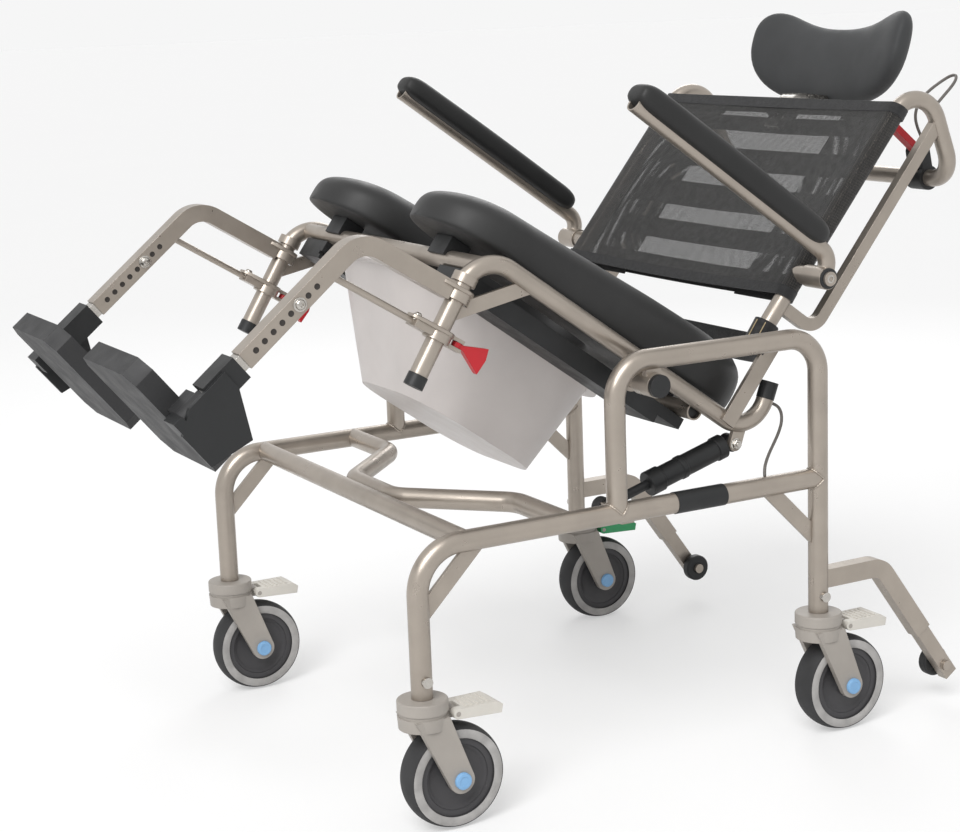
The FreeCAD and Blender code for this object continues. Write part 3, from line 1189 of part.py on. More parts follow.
def headrest_section(share, low, high, bow, thick):
    """Return an upright section of the pad: an oval of four arcs."""
    x = share * HEAD_PAD_HALF
    u = -bow * HEAD_PAD_BOW
    bottom = low * HEAD_PAD_HEIGHT
    top = high * HEAD_PAD_HEIGHT
    half_thick = thick * HEAD_PAD_THICK / 2
    round_end = min(half_thick, (top - bottom) * 0.3)
    belly = half_thick * 1.12
    middle = (bottom + top) / 2
    corners = [
        vec(x, u - half_thick, bottom + round_end),
        vec(x, u - half_thick, top - round_end),
        vec(x, u + half_thick, top - round_end),
        vec(x, u + half_thick, bottom + round_end),
    ]
    edges = [
        Part.Arc(corners[0], vec(x, u - belly, middle), corners[1]).toShape(),
        Part.Arc(corners[1], vec(x, u, top), corners[2]).toShape(),
        Part.Arc(corners[2], vec(x, u + belly, middle), corners[3]).toShape(),
        Part.Arc(corners[3], vec(x, u, bottom), corners[0]).toShape(),
    ]
    return Part.Wire(edges)


# Tilt release: a clamp on the push handle, a red lever and the cables

def build_release(headrest_bar):
    """Make the release lever and its clamp on the handle, kept with the headrest bar."""
    half = RELEASE_WIDTH / 2
    x0 = RELEASE_X - half
    x1 = RELEASE_X + half
    tube_r = SEAT_TUBE_OD / 2
    ring = disc_x(x0, x1, HANDLE_BAR_U, HANDLE_BAR_W, tube_r + RELEASE_CLAMP_WALL)
    web = flat_bar(vec(0, HANDLE_BAR_U, HANDLE_BAR_W), vec(0, RELEASE_PIVOT_U, RELEASE_PIVOT_W),
                   x0, x1, 2 * RELEASE_EYE_R)
    eye = disc_x(x0, x1, RELEASE_PIVOT_U, RELEASE_PIVOT_W, RELEASE_EYE_R)
    slot_half = half * 0.5
    slot = box(RELEASE_X - slot_half - FACE_GAP, RELEASE_X + slot_half + FACE_GAP,
               RELEASE_PIVOT_U - RELEASE_SLOT_FRONT, RELEASE_PIVOT_U + RELEASE_SLOT_REAR,
               RELEASE_PIVOT_W - RELEASE_SLOT_HALF, RELEASE_PIVOT_W + RELEASE_SLOT_HALF)
    pin = disc_x(x0, x1, RELEASE_PIVOT_U, RELEASE_PIVOT_W, LEVER_PIN_R)
    bar_hole = disc_x(x0, x1, HANDLE_BAR_U, HANDLE_BAR_W, tube_r)
    release_clamp = ring.fuse([web, eye]).cut([slot, bar_hole]).fuse(pin)
    add_tilted("handle_brackets", headrest_bar, release_clamp)

    lift = math.radians(RELEASE_LIFT_DEG)
    pivot = vec(0, RELEASE_PIVOT_U, RELEASE_PIVOT_W)
    tip = pivot + vec(0, -math.cos(lift), math.sin(lift)) * RELEASE_LENGTH
    lever = flat_bar(pivot, tip, RELEASE_X - slot_half, RELEASE_X + slot_half, RELEASE_LEVER_DEPTH)
    hub = disc_x(RELEASE_X - slot_half, RELEASE_X + slot_half, pivot.y, pivot.z, RELEASE_HUB_R)
    hole = disc_x(x0, x1, RELEASE_PIVOT_U, RELEASE_PIVOT_W, LEVER_PIN_R + RUN_CLEARANCE)
    add_tilted("tilt_lever", lever.fuse(hub).cut(hole))


def cord_tube(name, points):
    """Return a cable along straight runs and the largest tangent arcs that fit."""
    radii = []
    for index in range(1, len(points) - 1):
        back = points[index - 1] - points[index]
        ahead = points[index + 1] - points[index]
        half_turn = (math.pi - back.getAngle(ahead)) / 2
        radii.append(0.45 * min(back.Length, ahead.Length) / math.tan(half_turn))
    cable = bent_rod(points, radii, CABLE_D)
    length = rounded_path(points, radii).Length
    section = math.pi * CABLE_D ** 2 / 4
    print(name, "radii", [round(radius) for radius in radii], "length", round(length),
          "volume ratio", round(cable.Volume / (section * length), 3))
    return cable


# Cable routes: the upper one in the level seat frame, the lower one on the chair
UPPER_CABLE = [(250, 210.1, 525.2), (250.5, 213.2, 539.6), (250, 217.2, 554.1), (246.5, 221.2, 567.1),
               (238.5, 224.2, 576.6), (227.5, 225.2, 576.6), (218.5, 223.7, 567.6), (211.5, 220.2, 554.1),
               (206, 218, 540.3), (202.5, 218.8, 526.1), (200.3, 225.2, 513.3), (199.5, 237, 504.5),
               (199.5, 248.5, 499), (199.5, 261.4, 491.9)]
LOWER_CABLE = [(250, 246.3, 431.3), (250.3, 254.8, 428.2), (252, 260.7, 419.5), (255.5, 259.3, 407.5),
               (260.5, 251, 396), (266.5, 239.5, 385.5), (273, 227.5, 376.3), (280, 216.5, 367.5),
               (286, 208.5, 358.5), (290, 206, 349.9)]


def build_cables():
    """Make the release cable where it shows."""
    upper = [vec(*point) for point in UPPER_CABLE]
    lower = [vec(*point) for point in LOWER_CABLE]
    add_tilted("handle_cable", cord_tube("handle cable", upper))
    add("tilt_cable", cord_tube("tilt cable", lower))


def main():
    """Build every piece, put the origin under the middle and write the files."""
    build_base()
    build_leg_bolts()
    build_castors()
    build_antitip()
    build_seat_frame()
    build_strut()
    build_legrests()
    build_armrests()
    build_cushion()
    build_pan()
    build_sling()
    build_release(build_headrest())
    build_cables()
    whole = Part.Compound([shape for name, shape in pieces.items() if "cable" not in name]).BoundBox
    shift = vec(0, -(whole.YMin + whole.YMax) / 2, 0)
    print("origin shift", round(shift.y, 3))
    print("box", round(whole.XLength), round(whole.YLength), round(whole.ZLength))
    for name, shape in pieces.items():
        shape.translate(shift)
        if not shape.isValid() or min(solid.Volume for solid in shape.Solids) <= 0:
            print("bad shape", name)
        shape.exportStep("parts/" + name + ".step")


main()
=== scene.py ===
import bmesh
import bpy
import json
import math
from mathutils import Matrix, Vector


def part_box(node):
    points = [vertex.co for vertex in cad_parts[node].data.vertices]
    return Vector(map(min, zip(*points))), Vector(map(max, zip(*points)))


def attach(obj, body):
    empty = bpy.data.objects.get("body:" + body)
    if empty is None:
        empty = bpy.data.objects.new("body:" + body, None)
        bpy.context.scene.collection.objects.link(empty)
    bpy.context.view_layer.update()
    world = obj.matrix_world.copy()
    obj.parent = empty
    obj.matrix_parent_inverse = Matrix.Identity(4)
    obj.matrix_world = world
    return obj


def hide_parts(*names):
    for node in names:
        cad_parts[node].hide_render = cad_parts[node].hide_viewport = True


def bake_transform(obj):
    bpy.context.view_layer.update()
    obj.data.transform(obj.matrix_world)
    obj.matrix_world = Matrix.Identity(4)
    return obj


# Looks of the tilting commode chair. Sizes are in millimetres, and points are turned into metres
# when they are placed. Most pieces are drawn in the level seat frame (x, u to the rear, w up),
# whose origin is on the tilt axis, as the frame itself is.

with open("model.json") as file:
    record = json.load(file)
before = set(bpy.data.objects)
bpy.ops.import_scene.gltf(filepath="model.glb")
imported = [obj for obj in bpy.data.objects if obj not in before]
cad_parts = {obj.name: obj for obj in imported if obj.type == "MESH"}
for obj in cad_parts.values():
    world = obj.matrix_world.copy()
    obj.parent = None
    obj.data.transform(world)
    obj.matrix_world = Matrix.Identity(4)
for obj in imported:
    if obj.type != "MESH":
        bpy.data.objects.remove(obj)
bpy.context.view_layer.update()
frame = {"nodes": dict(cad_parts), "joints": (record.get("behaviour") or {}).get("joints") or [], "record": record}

MM = 0.001
SIDES = (("left", 1), ("right", -1))
CASTORS = ("front_left", "front_right", "rear_left", "rear_right")

# Places shared with the frame
REST_TILT_DEG = 35.8
TILT_AXIS_Y = 38.0
SEAT_HALF_WIDTH = 250.0
SEAT_CORNER_U = -267.0
SEAT_RAIL_W = 25.0
HANGER_LEAN_DEG = 3.9
LEG_REACH = 142.4
LEG_ARM_DROP = 59.0
LEG_SPLAY_DEG = 18.9
LEG_TUBE = 22.0
BACK_BASE_U = 136.6
BACK_BASE_W = 118.0
BACK_LEAN_DEG = 3.4
CROSS_TUBE_U = (-248.0, 108.0)
CROSS_TUBE_W = 12.0

# Camera, fitted to the photograph
PHOTO_WIDTH = 960
FOCAL_PIXELS = 2004.47
SENSOR_MM = 36.0
CAMERA_AZIMUTH_DEG = 61.62
CAMERA_ELEVATION_DEG = 11.67
CAMERA_ROLL_DEG = -2.17
CAMERA_PLACE = (2256.07, -1255.23, 940.79)

joint_places = {joint["name"]: Vector(joint["pos_m"]) for joint in frame["joints"] if joint.get("pos_m")}
tilt_axis = joint_places["seat_tilt"]
CENTRING_Y = tilt_axis.y / MM - TILT_AXIS_Y


def turn_x(degrees):
    """Return a turn about X."""
    return Matrix.Rotation(math.radians(degrees), 4, "X")


CHAIR = Matrix.Translation((0, CENTRING_Y, 0))
SEAT = Matrix.Translation((0, tilt_axis.y / MM, tilt_axis.z / MM)) @ turn_x(-REST_TILT_DEG)
HANGER = SEAT @ Matrix.Translation((0, SEAT_CORNER_U, SEAT_RAIL_W)) @ turn_x(HANGER_LEAN_DEG)
LEG = HANGER @ Matrix.Translation((0, -LEG_REACH, -LEG_ARM_DROP)) @ turn_x(-LEG_SPLAY_DEG)


def place(where, x, y, z):
    """Return a point of one of the frames above, in metres."""
    return (where @ Vector((x, y, z))) * MM


def heading(where, x, y, z):
    """Return a direction of one of the frames above."""
    return (where.to_3x3() @ Vector((x, y, z))).normalized()


def back_u(w):
    """Return how far to the rear a back post is at a height."""
    return BACK_BASE_U + math.tan(math.radians(BACK_LEAN_DEG)) * (w - BACK_BASE_W)


# Finishes

NOISE_LOW = 0.3
NOISE_HIGH = 0.7
SHADE_LOW = 0.32
SHADE_HIGH = 0.68
GLOSS_DETAIL = 4.0


def linear(red, green, blue):
    """Return a colour given as 0 to 255 in the values that shaders use."""
    shares = [value / 255 for value in (red, green, blue)]
    return tuple(s / 12.92 if s <= 0.04045 else ((s + 0.055) / 1.055) ** 2.4 for s in shares)


def scaled(colour, share):
    """Return a colour made lighter or darker."""
    return (*[min(1.0, value * share) for value in colour], 1.0)


class Finish:
    """A material under construction: a main shader and short calls that add nodes to it."""

    def __init__(self, name):
        self.material = bpy.data.materials.new(name)
        self.material.use_nodes = True
        self.tree = self.material.node_tree
        self.shader = self.tree.nodes["Principled BSDF"]
        self.coords = self.node("ShaderNodeTexCoord").outputs["Object"]
        self.normals = []

    def node(self, kind, **values):
        """Add a node and set its properties."""
        made = self.tree.nodes.new(kind)
        for key, value in values.items():
            setattr(made, key, value)
        return made

    def link(self, source, target):
        """Join an output to an input."""
        self.tree.links.new(source, target)

    def set(self, **values):
        """Set plain values on the main shader, named with underscores for spaces."""
        for key, value in values.items():
            self.shader.inputs[key.replace("_", " ")].default_value = value

    def noise(self, scale, detail):
        """Return a noise pattern of so many cycles per metre."""
        pattern = self.node("ShaderNodeTexNoise")
        pattern.inputs["Scale"].default_value = scale
        pattern.inputs["Detail"].default_value = detail
        self.link(self.coords, pattern.inputs["Vector"])
        return pattern.outputs["Fac"]

    def cells(self, scale):
        """Return a cell pattern of so many cells per metre."""
        pattern = self.node("ShaderNodeTexVoronoi", feature="F1")
        pattern.inputs["Scale"].default_value = scale
        self.link(self.coords, pattern.inputs["Vector"])
        return pattern.outputs["Distance"]

    def math(self, operation, first, second=None):
        """Return the result of a sum on one or two values."""
        made = self.node("ShaderNodeMath", operation=operation)
        for socket, value in zip(made.inputs, (first, second)):
            if value is None:
                continue
            if isinstance(value, (int, float)):
                socket.default_value = value
            else:
                self.link(value, socket)
        return made.outputs["Value"]

    def ramp(self, value, stops):
        """Return a colour read from stops of place and colour."""
        made = self.node("ShaderNodeValToRGB")
        elements = made.color_ramp.elements
        while len(elements) < len(stops):
            elements.new(0.5)
        for element, (position, colour) in zip(elements, stops):
            element.position = position
            element.color = colour
        self.link(value, made.inputs["Fac"])
        return made.outputs["Color"]

    def range(self, value, low, high):
        """Return a noise value spread between two others."""
        made = self.node("ShaderNodeMapRange")
        made.inputs["From Min"].default_value = NOISE_LOW
        made.inputs["From Max"].default_value = NOISE_HIGH
        made.inputs["To Min"].default_value = low
        made.inputs["To Max"].default_value = high
        self.link(value, made.inputs["Value"])
        return made.outputs["Result"]

    def colour(self, colour, vary, scale, detail=3.0):
        """Colour the surface with a gentle change of shade."""
        pattern = self.noise(scale, detail)
        stops = [(SHADE_LOW, scaled(colour, 1 - vary)), (SHADE_HIGH, scaled(colour, 1 + vary))]
        self.link(self.ramp(pattern, stops), self.shader.inputs["Base Color"])

    def rough(self, low, high, scale):
        """Make the gloss uneven."""
        pattern = self.noise(scale, GLOSS_DETAIL)
        self.link(self.range(pattern, low, high), self.shader.inputs["Roughness"])

    def bump(self, height, distance, strength):
        """Add relief of a real height in metres."""
        made = self.node("ShaderNodeBump")
        made.inputs["Strength"].default_value = strength
        made.inputs["Distance"].default_value = distance
        self.link(height, made.inputs["Height"])
        if self.normals:
            self.link(self.normals[-1], made.inputs["Normal"])
        self.normals.append(made.outputs["Normal"])
        self.link(self.normals[-1], self.shader.inputs["Normal"])

    def soft_edges(self, radius):
        """Round the look of sharp edges by a radius in metres."""
        made = self.node("ShaderNodeBevel", samples=4)
        made.inputs["Radius"].default_value = radius
        self.normals.append(made.outputs["Normal"])
        self.link(self.normals[-1], self.shader.inputs["Normal"])


def painted_metal(name, colour):
    """Return satin silver paint over tube, with fine flake and faint handling marks."""
    made = Finish(name)
    made.set(Metallic=0.72)
    made.colour(colour, 0.06, 22.0, 5.0)
    made.rough(0.27, 0.40, 60.0)
    made.soft_edges(0.0007)
    made.bump(made.noise(2600.0, 1.0), 0.00004, 0.5)
    return made.material


def steel(name, colour, low, high):
    """Return bare drawn steel with fine draw lines."""
    made = Finish(name)
    made.set(Metallic=1.0)
    made.colour(colour, 0.05, 160.0, 4.0)
    made.rough(low, high, 240.0)
    made.soft_edges(0.0005)
    made.bump(made.noise(1500.0, 2.0), 0.00003, 0.4)
    return made.material


def moulded(name, colour, low, high, grain=1400.0, depth=0.00006, vary=0.07):
    """Return moulded plastic with a spark-eroded grain and rubbed patches."""
    made = Finish(name)
    made.set(Specular_IOR_Level=0.45)
    made.colour(colour, vary, 18.0, 5.0)
    made.rough(low, high, 35.0)
    made.soft_edges(0.0009)
    made.bump(made.cells(grain), depth, 0.7)
    return made.material


def rubber(name, colour):
    """Return dull grey tyre rubber with dusty patches."""
    made = Finish(name)
    made.set(Specular_IOR_Level=0.3)
    made.colour(colour, 0.18, 45.0, 6.0)
    made.rough(0.62, 0.82, 90.0)
    made.soft_edges(0.001)
    made.bump(made.noise(900.0, 3.0), 0.00008, 0.7)
    return made.material


def skin(name, colour, low, high, grain, depth):
    """Return the skin of moulded foam: a fine pebble with a soft sheen."""
    made = Finish(name)
    made.set(Specular_IOR_Level=0.35, Sheen_Weight=0.06, Sheen_Roughness=0.45)
    made.colour(colour, 0.12, 9.0, 5.0)
    made.rough(low, high, 26.0)
    made.bump(made.cells(grain), depth, 0.8)
    made.bump(made.noise(16.0, 2.0), 0.0006, 0.5)
    return made.material


def webbing(name, colour, pitch):
    """Return woven tape: ribs across its length with a thread relief."""
    made = Finish(name)
    made.set(Specular_IOR_Level=0.3, Sheen_Weight=0.2, Sheen_Roughness=0.5)
    made.colour(colour, 0.2, 130.0, 5.0)
    made.rough(0.6, 0.8, 200.0)
    made.bump(made.cells(1.0 / pitch), 0.0003, 0.8)
    return made.material


def open_mesh(name, colour, pitch, hole_share):
    """Return a woven mesh whose holes let the view through. It reads the cloth's own width and length."""
    made = Finish(name)
    made.set(Specular_IOR_Level=0.35, Sheen_Weight=0.15, Sheen_Roughness=0.5)
    made.colour(colour, 0.22, 40.0, 5.0)
    made.rough(0.55, 0.75, 120.0)
    cloth = made.node("ShaderNodeUVMap", uv_map="cloth").outputs["UV"]
    parts = made.node("ShaderNodeSeparateXYZ")
    made.link(cloth, parts.inputs["Vector"])
    waves = []
    for axis in ("X", "Y"):
        turns = made.math("MULTIPLY", parts.outputs[axis], 2 * math.pi / pitch)
        waves.append(made.math("SINE", turns))
    weave = made.math("MULTIPLY", waves[0], waves[1])
    made.bump(weave, 0.0004, 0.8)
    hole = made.math("GREATER_THAN", weave, 1.0 - hole_share)
    clear = made.node("ShaderNodeBsdfTransparent")
    mixed = made.node("ShaderNodeMixShader")
    made.link(hole, mixed.inputs["Fac"])
    made.link(made.shader.outputs["BSDF"], mixed.inputs[1])
    made.link(clear.outputs["BSDF"], mixed.inputs[2])
    made.link(mixed.outputs["Shader"], made.tree.nodes["Material Output"].inputs["Surface"])
    return made.material


SILVER = linear(164, 155, 145)
FINISHES = {
    "frame_metal": painted_metal("frame_metal", SILVER),
    "bright_steel": steel("bright_steel", linear(186, 182, 176), 0.16, 0.30),
    "black_plastic": moulded("black_plastic", linear(28, 29, 30), 0.42, 0.58),
    "foot_plastic": moulded("foot_plastic", linear(42, 42, 43), 0.52, 0.68, 900.0, 0.00010),
    "castor_grey": moulded("castor_grey", linear(158, 152, 145), 0.40, 0.56),
    # The tread's dark grey is painted shade on the same grey rubber as the pale tyre sides.
    "tyre_rubber": rubber("tyre_rubber", linear(54, 54, 55)),
    "tyre_side": rubber("tyre_side", linear(164, 162, 160)),
    "hub_plastic": moulded("hub_plastic", linear(60, 59, 61), 0.44, 0.60),
    "pedal_grey": moulded("pedal_grey", linear(206, 202, 194), 0.42, 0.58),
    "pedal_green": moulded("pedal_green", linear(52, 150, 96), 0.42, 0.58),
    "lever_red": moulded("lever_red", linear(178, 26, 36), 0.34, 0.50),
    "cap_blue": moulded("cap_blue", linear(126, 172, 214), 0.34, 0.48),
    "seat_skin": skin("seat_skin", linear(40, 40, 40), 0.44, 0.58, 1100.0, 0.00010),
    "arm_skin": skin("arm_skin", linear(33, 33, 33), 0.44, 0.58, 1100.0, 0.00010),
    "head_skin": skin("head_skin", linear(58, 59, 60), 0.56, 0.70, 1500.0, 0.00008),
    "sling_mesh": open_mesh("sling_mesh", linear(38, 37, 36), 0.0026, 0.42),
    "strap_web": webbing("strap_web", linear(34, 34, 35), 0.0016),
    "stitching": webbing("stitching", linear(176, 158, 124), 0.0009),
    "pan_plastic": moulded("pan_plastic", linear(196, 190, 187), 0.34, 0.48, 1800.0, 0.00003, 0.03),
    "cable_jacket": moulded("cable_jacket", linear(96, 92, 88), 0.40, 0.55),
    # Painted shade: a dark colour for the discs that stand for the shaded inside of the adjusting holes.
    "painted_hole_shade": moulded("painted_hole_shade", linear(48, 44, 41), 0.6, 0.8),
}

# Give each part of the frame the finish of its recorded slot
SLOT_OF_NODE = {entry["node"]: entry["material_slot"] for entry in frame["record"]["subparts"]}
for node_name, node_object in frame["nodes"].items():
    node_object.data.materials.clear()
    node_object.data.materials.append(FINISHES[SLOT_OF_NODE[node_name]])


# Mesh building

WELD_DISTANCE = 0.000002


class Form:
    """Points and faces of one piece, added to shape by shape."""

    def __init__(self):
        self.points = []
        self.faces = []

    def rings(self, rings, closed=True, capped=True):
        """Join rings of points in turn, and close the first and last."""
        start = len(self.points)
        count = len(rings[0])
        for ring in rings:
            self.points.extend(ring)
        for row in range(len(rings) - 1):
            for step in range(count if closed else count - 1):
                after = (step + 1) % count
                low = start + row * count
                high = low + count
                self.faces.append((low + step, low + after, high + after, high + step))
        if capped:
            self.faces.append(tuple(start + step for step in reversed(range(count))))
            last = start + (len(rings) - 1) * count
            self.faces.append(tuple(last + step for step in range(count)))

    def lathe(self, base, axis, profile, segments=28):
        """Turn a profile of radius and height, in millimetres, about an axis from a base point."""
        axis = axis.normalized()
        aside = axis.orthogonal().normalized()
        across = axis.cross(aside)
        rings = []
        for radius, height in profile:
            ring = []
            for step in range(segments):
                angle = 2 * math.pi * step / segments
                spoke = aside * math.cos(angle) + across * math.sin(angle)
                ring.append(base + axis * height * MM + spoke * radius * MM)
            rings.append(ring)
        self.rings(rings, capped=profile[0] != profile[-1])

    def strap(self, centres, acrosses, width, thick):
        """Lay a flat strap along a line of points, each with its direction across the strap."""
        rings = []
        for index, centre in enumerate(centres):
            ahead = centres[min(index + 1, len(centres) - 1)] - centres[max(index - 1, 0)]
            across = acrosses[index].normalized()
            out = ahead.normalized().cross(across)
            ring = []
            for side, face in ((-1, -1), (1, -1), (1, 1), (-1, 1)):
                ring.append(centre + across * side * width / 2 * MM + out * face * thick / 2 * MM)
            rings.append(ring)
        self.rings(rings)

    def make(self, name, body, finish, subdivide=0, crease_deg=40.0):
        """Turn the form into a piece that rides on a body."""
        mesh = bpy.data.meshes.new(name)
        mesh.from_pydata([tuple(point) for point in self.points], [], self.faces)
        shell = bmesh.new()
        shell.from_mesh(mesh)
        bmesh.ops.remove_doubles(shell, verts=shell.verts, dist=WELD_DISTANCE)
        bmesh.ops.recalc_face_normals(shell, faces=shell.faces)
        shell.to_mesh(mesh)
        shell.free()
        made = bpy.data.objects.new(name, mesh)
        bpy.context.scene.collection.objects.link(made)
        mesh.materials.append(FINISHES[finish])
        mesh.shade_smooth()
        if subdivide:
            rounded = made.modifiers.new("rounded", "SUBSURF")
            rounded.levels = subdivide
            rounded.render_levels = subdivide
        else:
            mesh.set_sharp_from_angle(angle=math.radians(crease_deg))
        if body:
            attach(made, body)
        return made


def dome_bolt(form, base, axis, radius, height):
    """Add a round-headed bolt with a hexagon socket."""
    profile = [
        (0.01, height * 0.45), (radius * 0.38, height * 0.45), (radius * 0.42, height * 0.97),
        (radius * 0.70, height * 0.86), (radius * 0.92, height * 0.55), (radius, height * 0.15),
        (radius, -0.4),
    ]
    form.lathe(base, axis, profile, 24)


def hex_nut(form, base, axis, radius, height):
    """Add a hexagon nut with the end of its bolt."""
    washer = [(radius * 1.25, 0.0), (radius * 1.25, height * 0.15), (radius * 1.2, height * 0.2)]
    flats = [(radius, height * 0.15), (radius, height * 0.85), (radius * 0.86, height)]
    end = [(radius * 0.5, height * 0.9), (radius * 0.5, height * 1.4), (radius * 0.42, height * 1.5)]
    form.lathe(base, axis, washer, 24)
    form.lathe(base, axis, flats, 6)
    form.lathe(base, axis, end, 16)


def ring_of(share_x, share_y, power, count):
    """Return points round a rounded square of half sizes, squarer for a higher power."""
    points = []
    for step in range(count):
        angle = 2 * math.pi * step / count
        cosine = math.cos(angle)
        sine = math.sin(angle)
        points.append((
            math.copysign(abs(cosine) ** (2 / power), cosine) * share_x,
            math.copysign(abs(sine) ** (2 / power), sine) * share_y,
        ))
    return points


# Seat cushion: a horseshoe of moulded foam, drawn as sections from the inner to the outer edge

CUSHION_BASE_W = 36.8
CUSHION_HALF_WIDTH = 232.0
CUSHION_FRONT_U = -308.0
CUSHION_REAR_U = 196.0
CUSHION_REAR_R = 70.0
CUSHION_WAIST = 5.0
CUSHION_FRONT_HEIGHT = 55.0
CUSHION_RISE_DEG = 4.0
APERTURE_HALF = 62.0
APERTURE_CENTRE_U = -2.0
LOBE_NOSE = 85.0
NOSE_STEPS = 9
ARM_STEPS = 8
FAN_STEPS = 12
SECTION_POINTS = 28
TOP_POWER = 2.7
BASE_POWER = 7.0
BELLY_SHARE = 0.36
NOSE_START = 0.35
NOSE_LOW = 0.30
NOSE_POWER = 0.8
RAY_STEP = 0.5


def cushion_outer(angle):
    """Return the cushion's rear edge along a ray from the aperture's centre."""
    ray_x = math.cos(angle)
    ray_u = math.sin(angle)
    reach = 0.0
    inside = True
    while inside:
        reach += RAY_STEP
        x = abs(ray_x * reach)
        u = APERTURE_CENTRE_U + ray_u * reach
        corner_x = x - (CUSHION_HALF_WIDTH - CUSHION_REAR_R)
        corner_u = u - (CUSHION_REAR_U - CUSHION_REAR_R)
        if corner_x > 0 and corner_u > 0:
            inside = math.hypot(corner_x, corner_u) < CUSHION_REAR_R
        else:
            inside = x < CUSHION_HALF_WIDTH and u < CUSHION_REAR_U
    return ray_x * reach, APERTURE_CENTRE_U + ray_u * reach


def cushion_height(u):
    """Return the foam's height at a place, which grows to the rear."""
    return CUSHION_FRONT_HEIGHT + math.tan(math.radians(CUSHION_RISE_DEG)) * (u - CUSHION_FRONT_U)


def cushion_stations():
    """Return inner and outer edge points and a height, from one lobe's nose round to the other's."""
    middle_x = (APERTURE_HALF + CUSHION_HALF_WIDTH) / 2
    half_x = (CUSHION_HALF_WIDTH - APERTURE_HALF) / 2
    lobe_u = CUSHION_FRONT_U + LOBE_NOSE
    side = []
    for step in range(NOSE_STEPS):
        angle = math.pi / 2 * (step + NOSE_START) / NOSE_STEPS
        u = lobe_u - LOBE_NOSE * math.cos(angle)
        width = half_x * math.sin(angle)
        height = cushion_height(u) * (NOSE_LOW + (1 - NOSE_LOW) * math.sin(angle) ** NOSE_POWER)
        side.append(((middle_x - width, u), (middle_x + width, u), height))
    for step in range(ARM_STEPS):
        share = step / ARM_STEPS
        u = lobe_u + (APERTURE_CENTRE_U - lobe_u) * share
        outer = CUSHION_HALF_WIDTH - CUSHION_WAIST * math.sin(math.pi * share)
        side.append(((APERTURE_HALF, u), (outer, u), cushion_height(u)))
    for step in range(FAN_STEPS):
        angle = math.pi / 2 * step / FAN_STEPS
        inner = (APERTURE_HALF * math.cos(angle), APERTURE_CENTRE_U + APERTURE_HALF * math.sin(angle))
        outer = cushion_outer(angle)
        side.append((inner, outer, cushion_height((inner[1] + outer[1]) / 2)))
    rear = cushion_outer(math.pi / 2)
    centre = ((0.0, APERTURE_CENTRE_U + APERTURE_HALF), rear, cushion_height(rear[1]))
    far = [((-inner[0], inner[1]), (-outer[0], outer[1]), height) for inner, outer, height in reversed(side)]
    return side + [centre] + far


def build_cushion():
    """Make the seat cushion."""
    rings = []
    for inner, outer, height in cushion_stations():
        ring = []
        upper = ring_of(1.0, 1.0, TOP_POWER, SECTION_POINTS)
        lower = ring_of(1.0, 1.0, BASE_POWER, SECTION_POINTS)
        for (top_x, top_y), (base_x, base_y) in zip(upper, lower):
            across, rise = (top_x, top_y) if top_y >= 0 else (base_x, base_y)
            share = 0.5 + across / 2
            x = inner[0] + (outer[0] - inner[0]) * share
            u = inner[1] + (outer[1] - inner[1]) * share
            belly = BELLY_SHARE * height
            w = CUSHION_BASE_W + belly + (rise * (height - belly) if rise >= 0 else rise * belly)
            ring.append(place(SEAT, x, u, w))
        rings.append(ring)
    form = Form()
    form.rings(rings)
    cushion = form.make("seat_cushion_foam", "seat", "seat_skin", subdivide=1)
    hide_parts("seat_cushion")


# Arm pads and the headrest pad

ARM_X = 298.0
ARM_BAR_W = 259.0
ARM_PAD_FRONT_U = -216.0
ARM_PAD_LENGTH = 330.0
ARM_PAD_HALF_WIDTH = 22.5
ARM_PAD_TOP = 29.0
ARM_PAD_SKIRT = 3.0
ARM_PAD_END_R = 24.0
ARM_PAD_END_WIDTH = 0.55
ARM_PAD_END_TOP = 0.62
ARM_PAD_END_LIFT = 10.0
ARM_PAD_CROWN = 0.05
ARM_PAD_BELLY = 0.42
ARM_PAD_POWER = 2.8
PAD_STATIONS = 26
PAD_POINTS = 24


def build_arm_pads():
    """Make both arm pads, saddled over their tubes."""
    for side, sign in SIDES:
        rings = []
        for step in range(PAD_STATIONS):
            along = -math.cos(math.pi * (step + 0.4) / (PAD_STATIONS - 0.2))
            end = min(1.0, (1 - abs(along)) * ARM_PAD_LENGTH / 2 / ARM_PAD_END_R)
            size = math.sqrt(max(0.0, 1 - (1 - end) ** 2))
            u = ARM_PAD_FRONT_U + ARM_PAD_LENGTH * (along + 1) / 2
            crown = 1.0 + ARM_PAD_CROWN * math.cos(math.pi * along / 2)
            half = ARM_PAD_HALF_WIDTH * (ARM_PAD_END_WIDTH + (1 - ARM_PAD_END_WIDTH) * size)
            low = ARM_BAR_W - ARM_PAD_SKIRT + ARM_PAD_END_LIFT * (1 - size)
            high = ARM_BAR_W + ARM_PAD_TOP * crown * (ARM_PAD_END_TOP + (1 - ARM_PAD_END_TOP) * size)
            middle = low + (high - low) * ARM_PAD_BELLY
            ring = []
            for x, y in ring_of(1.0, 1.0, ARM_PAD_POWER, PAD_POINTS):
                w = middle + y * (high - middle if y > 0 else middle - low)
                ring.append(place(SEAT, sign * (ARM_X + x * half), u, w))
            rings.append(ring)
        form = Form()
        form.rings(rings)
        pad = form.make("arm_pad_foam_" + side, "armrest_" + side, "arm_skin", subdivide=1)
        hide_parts("armrest_pad_" + side)


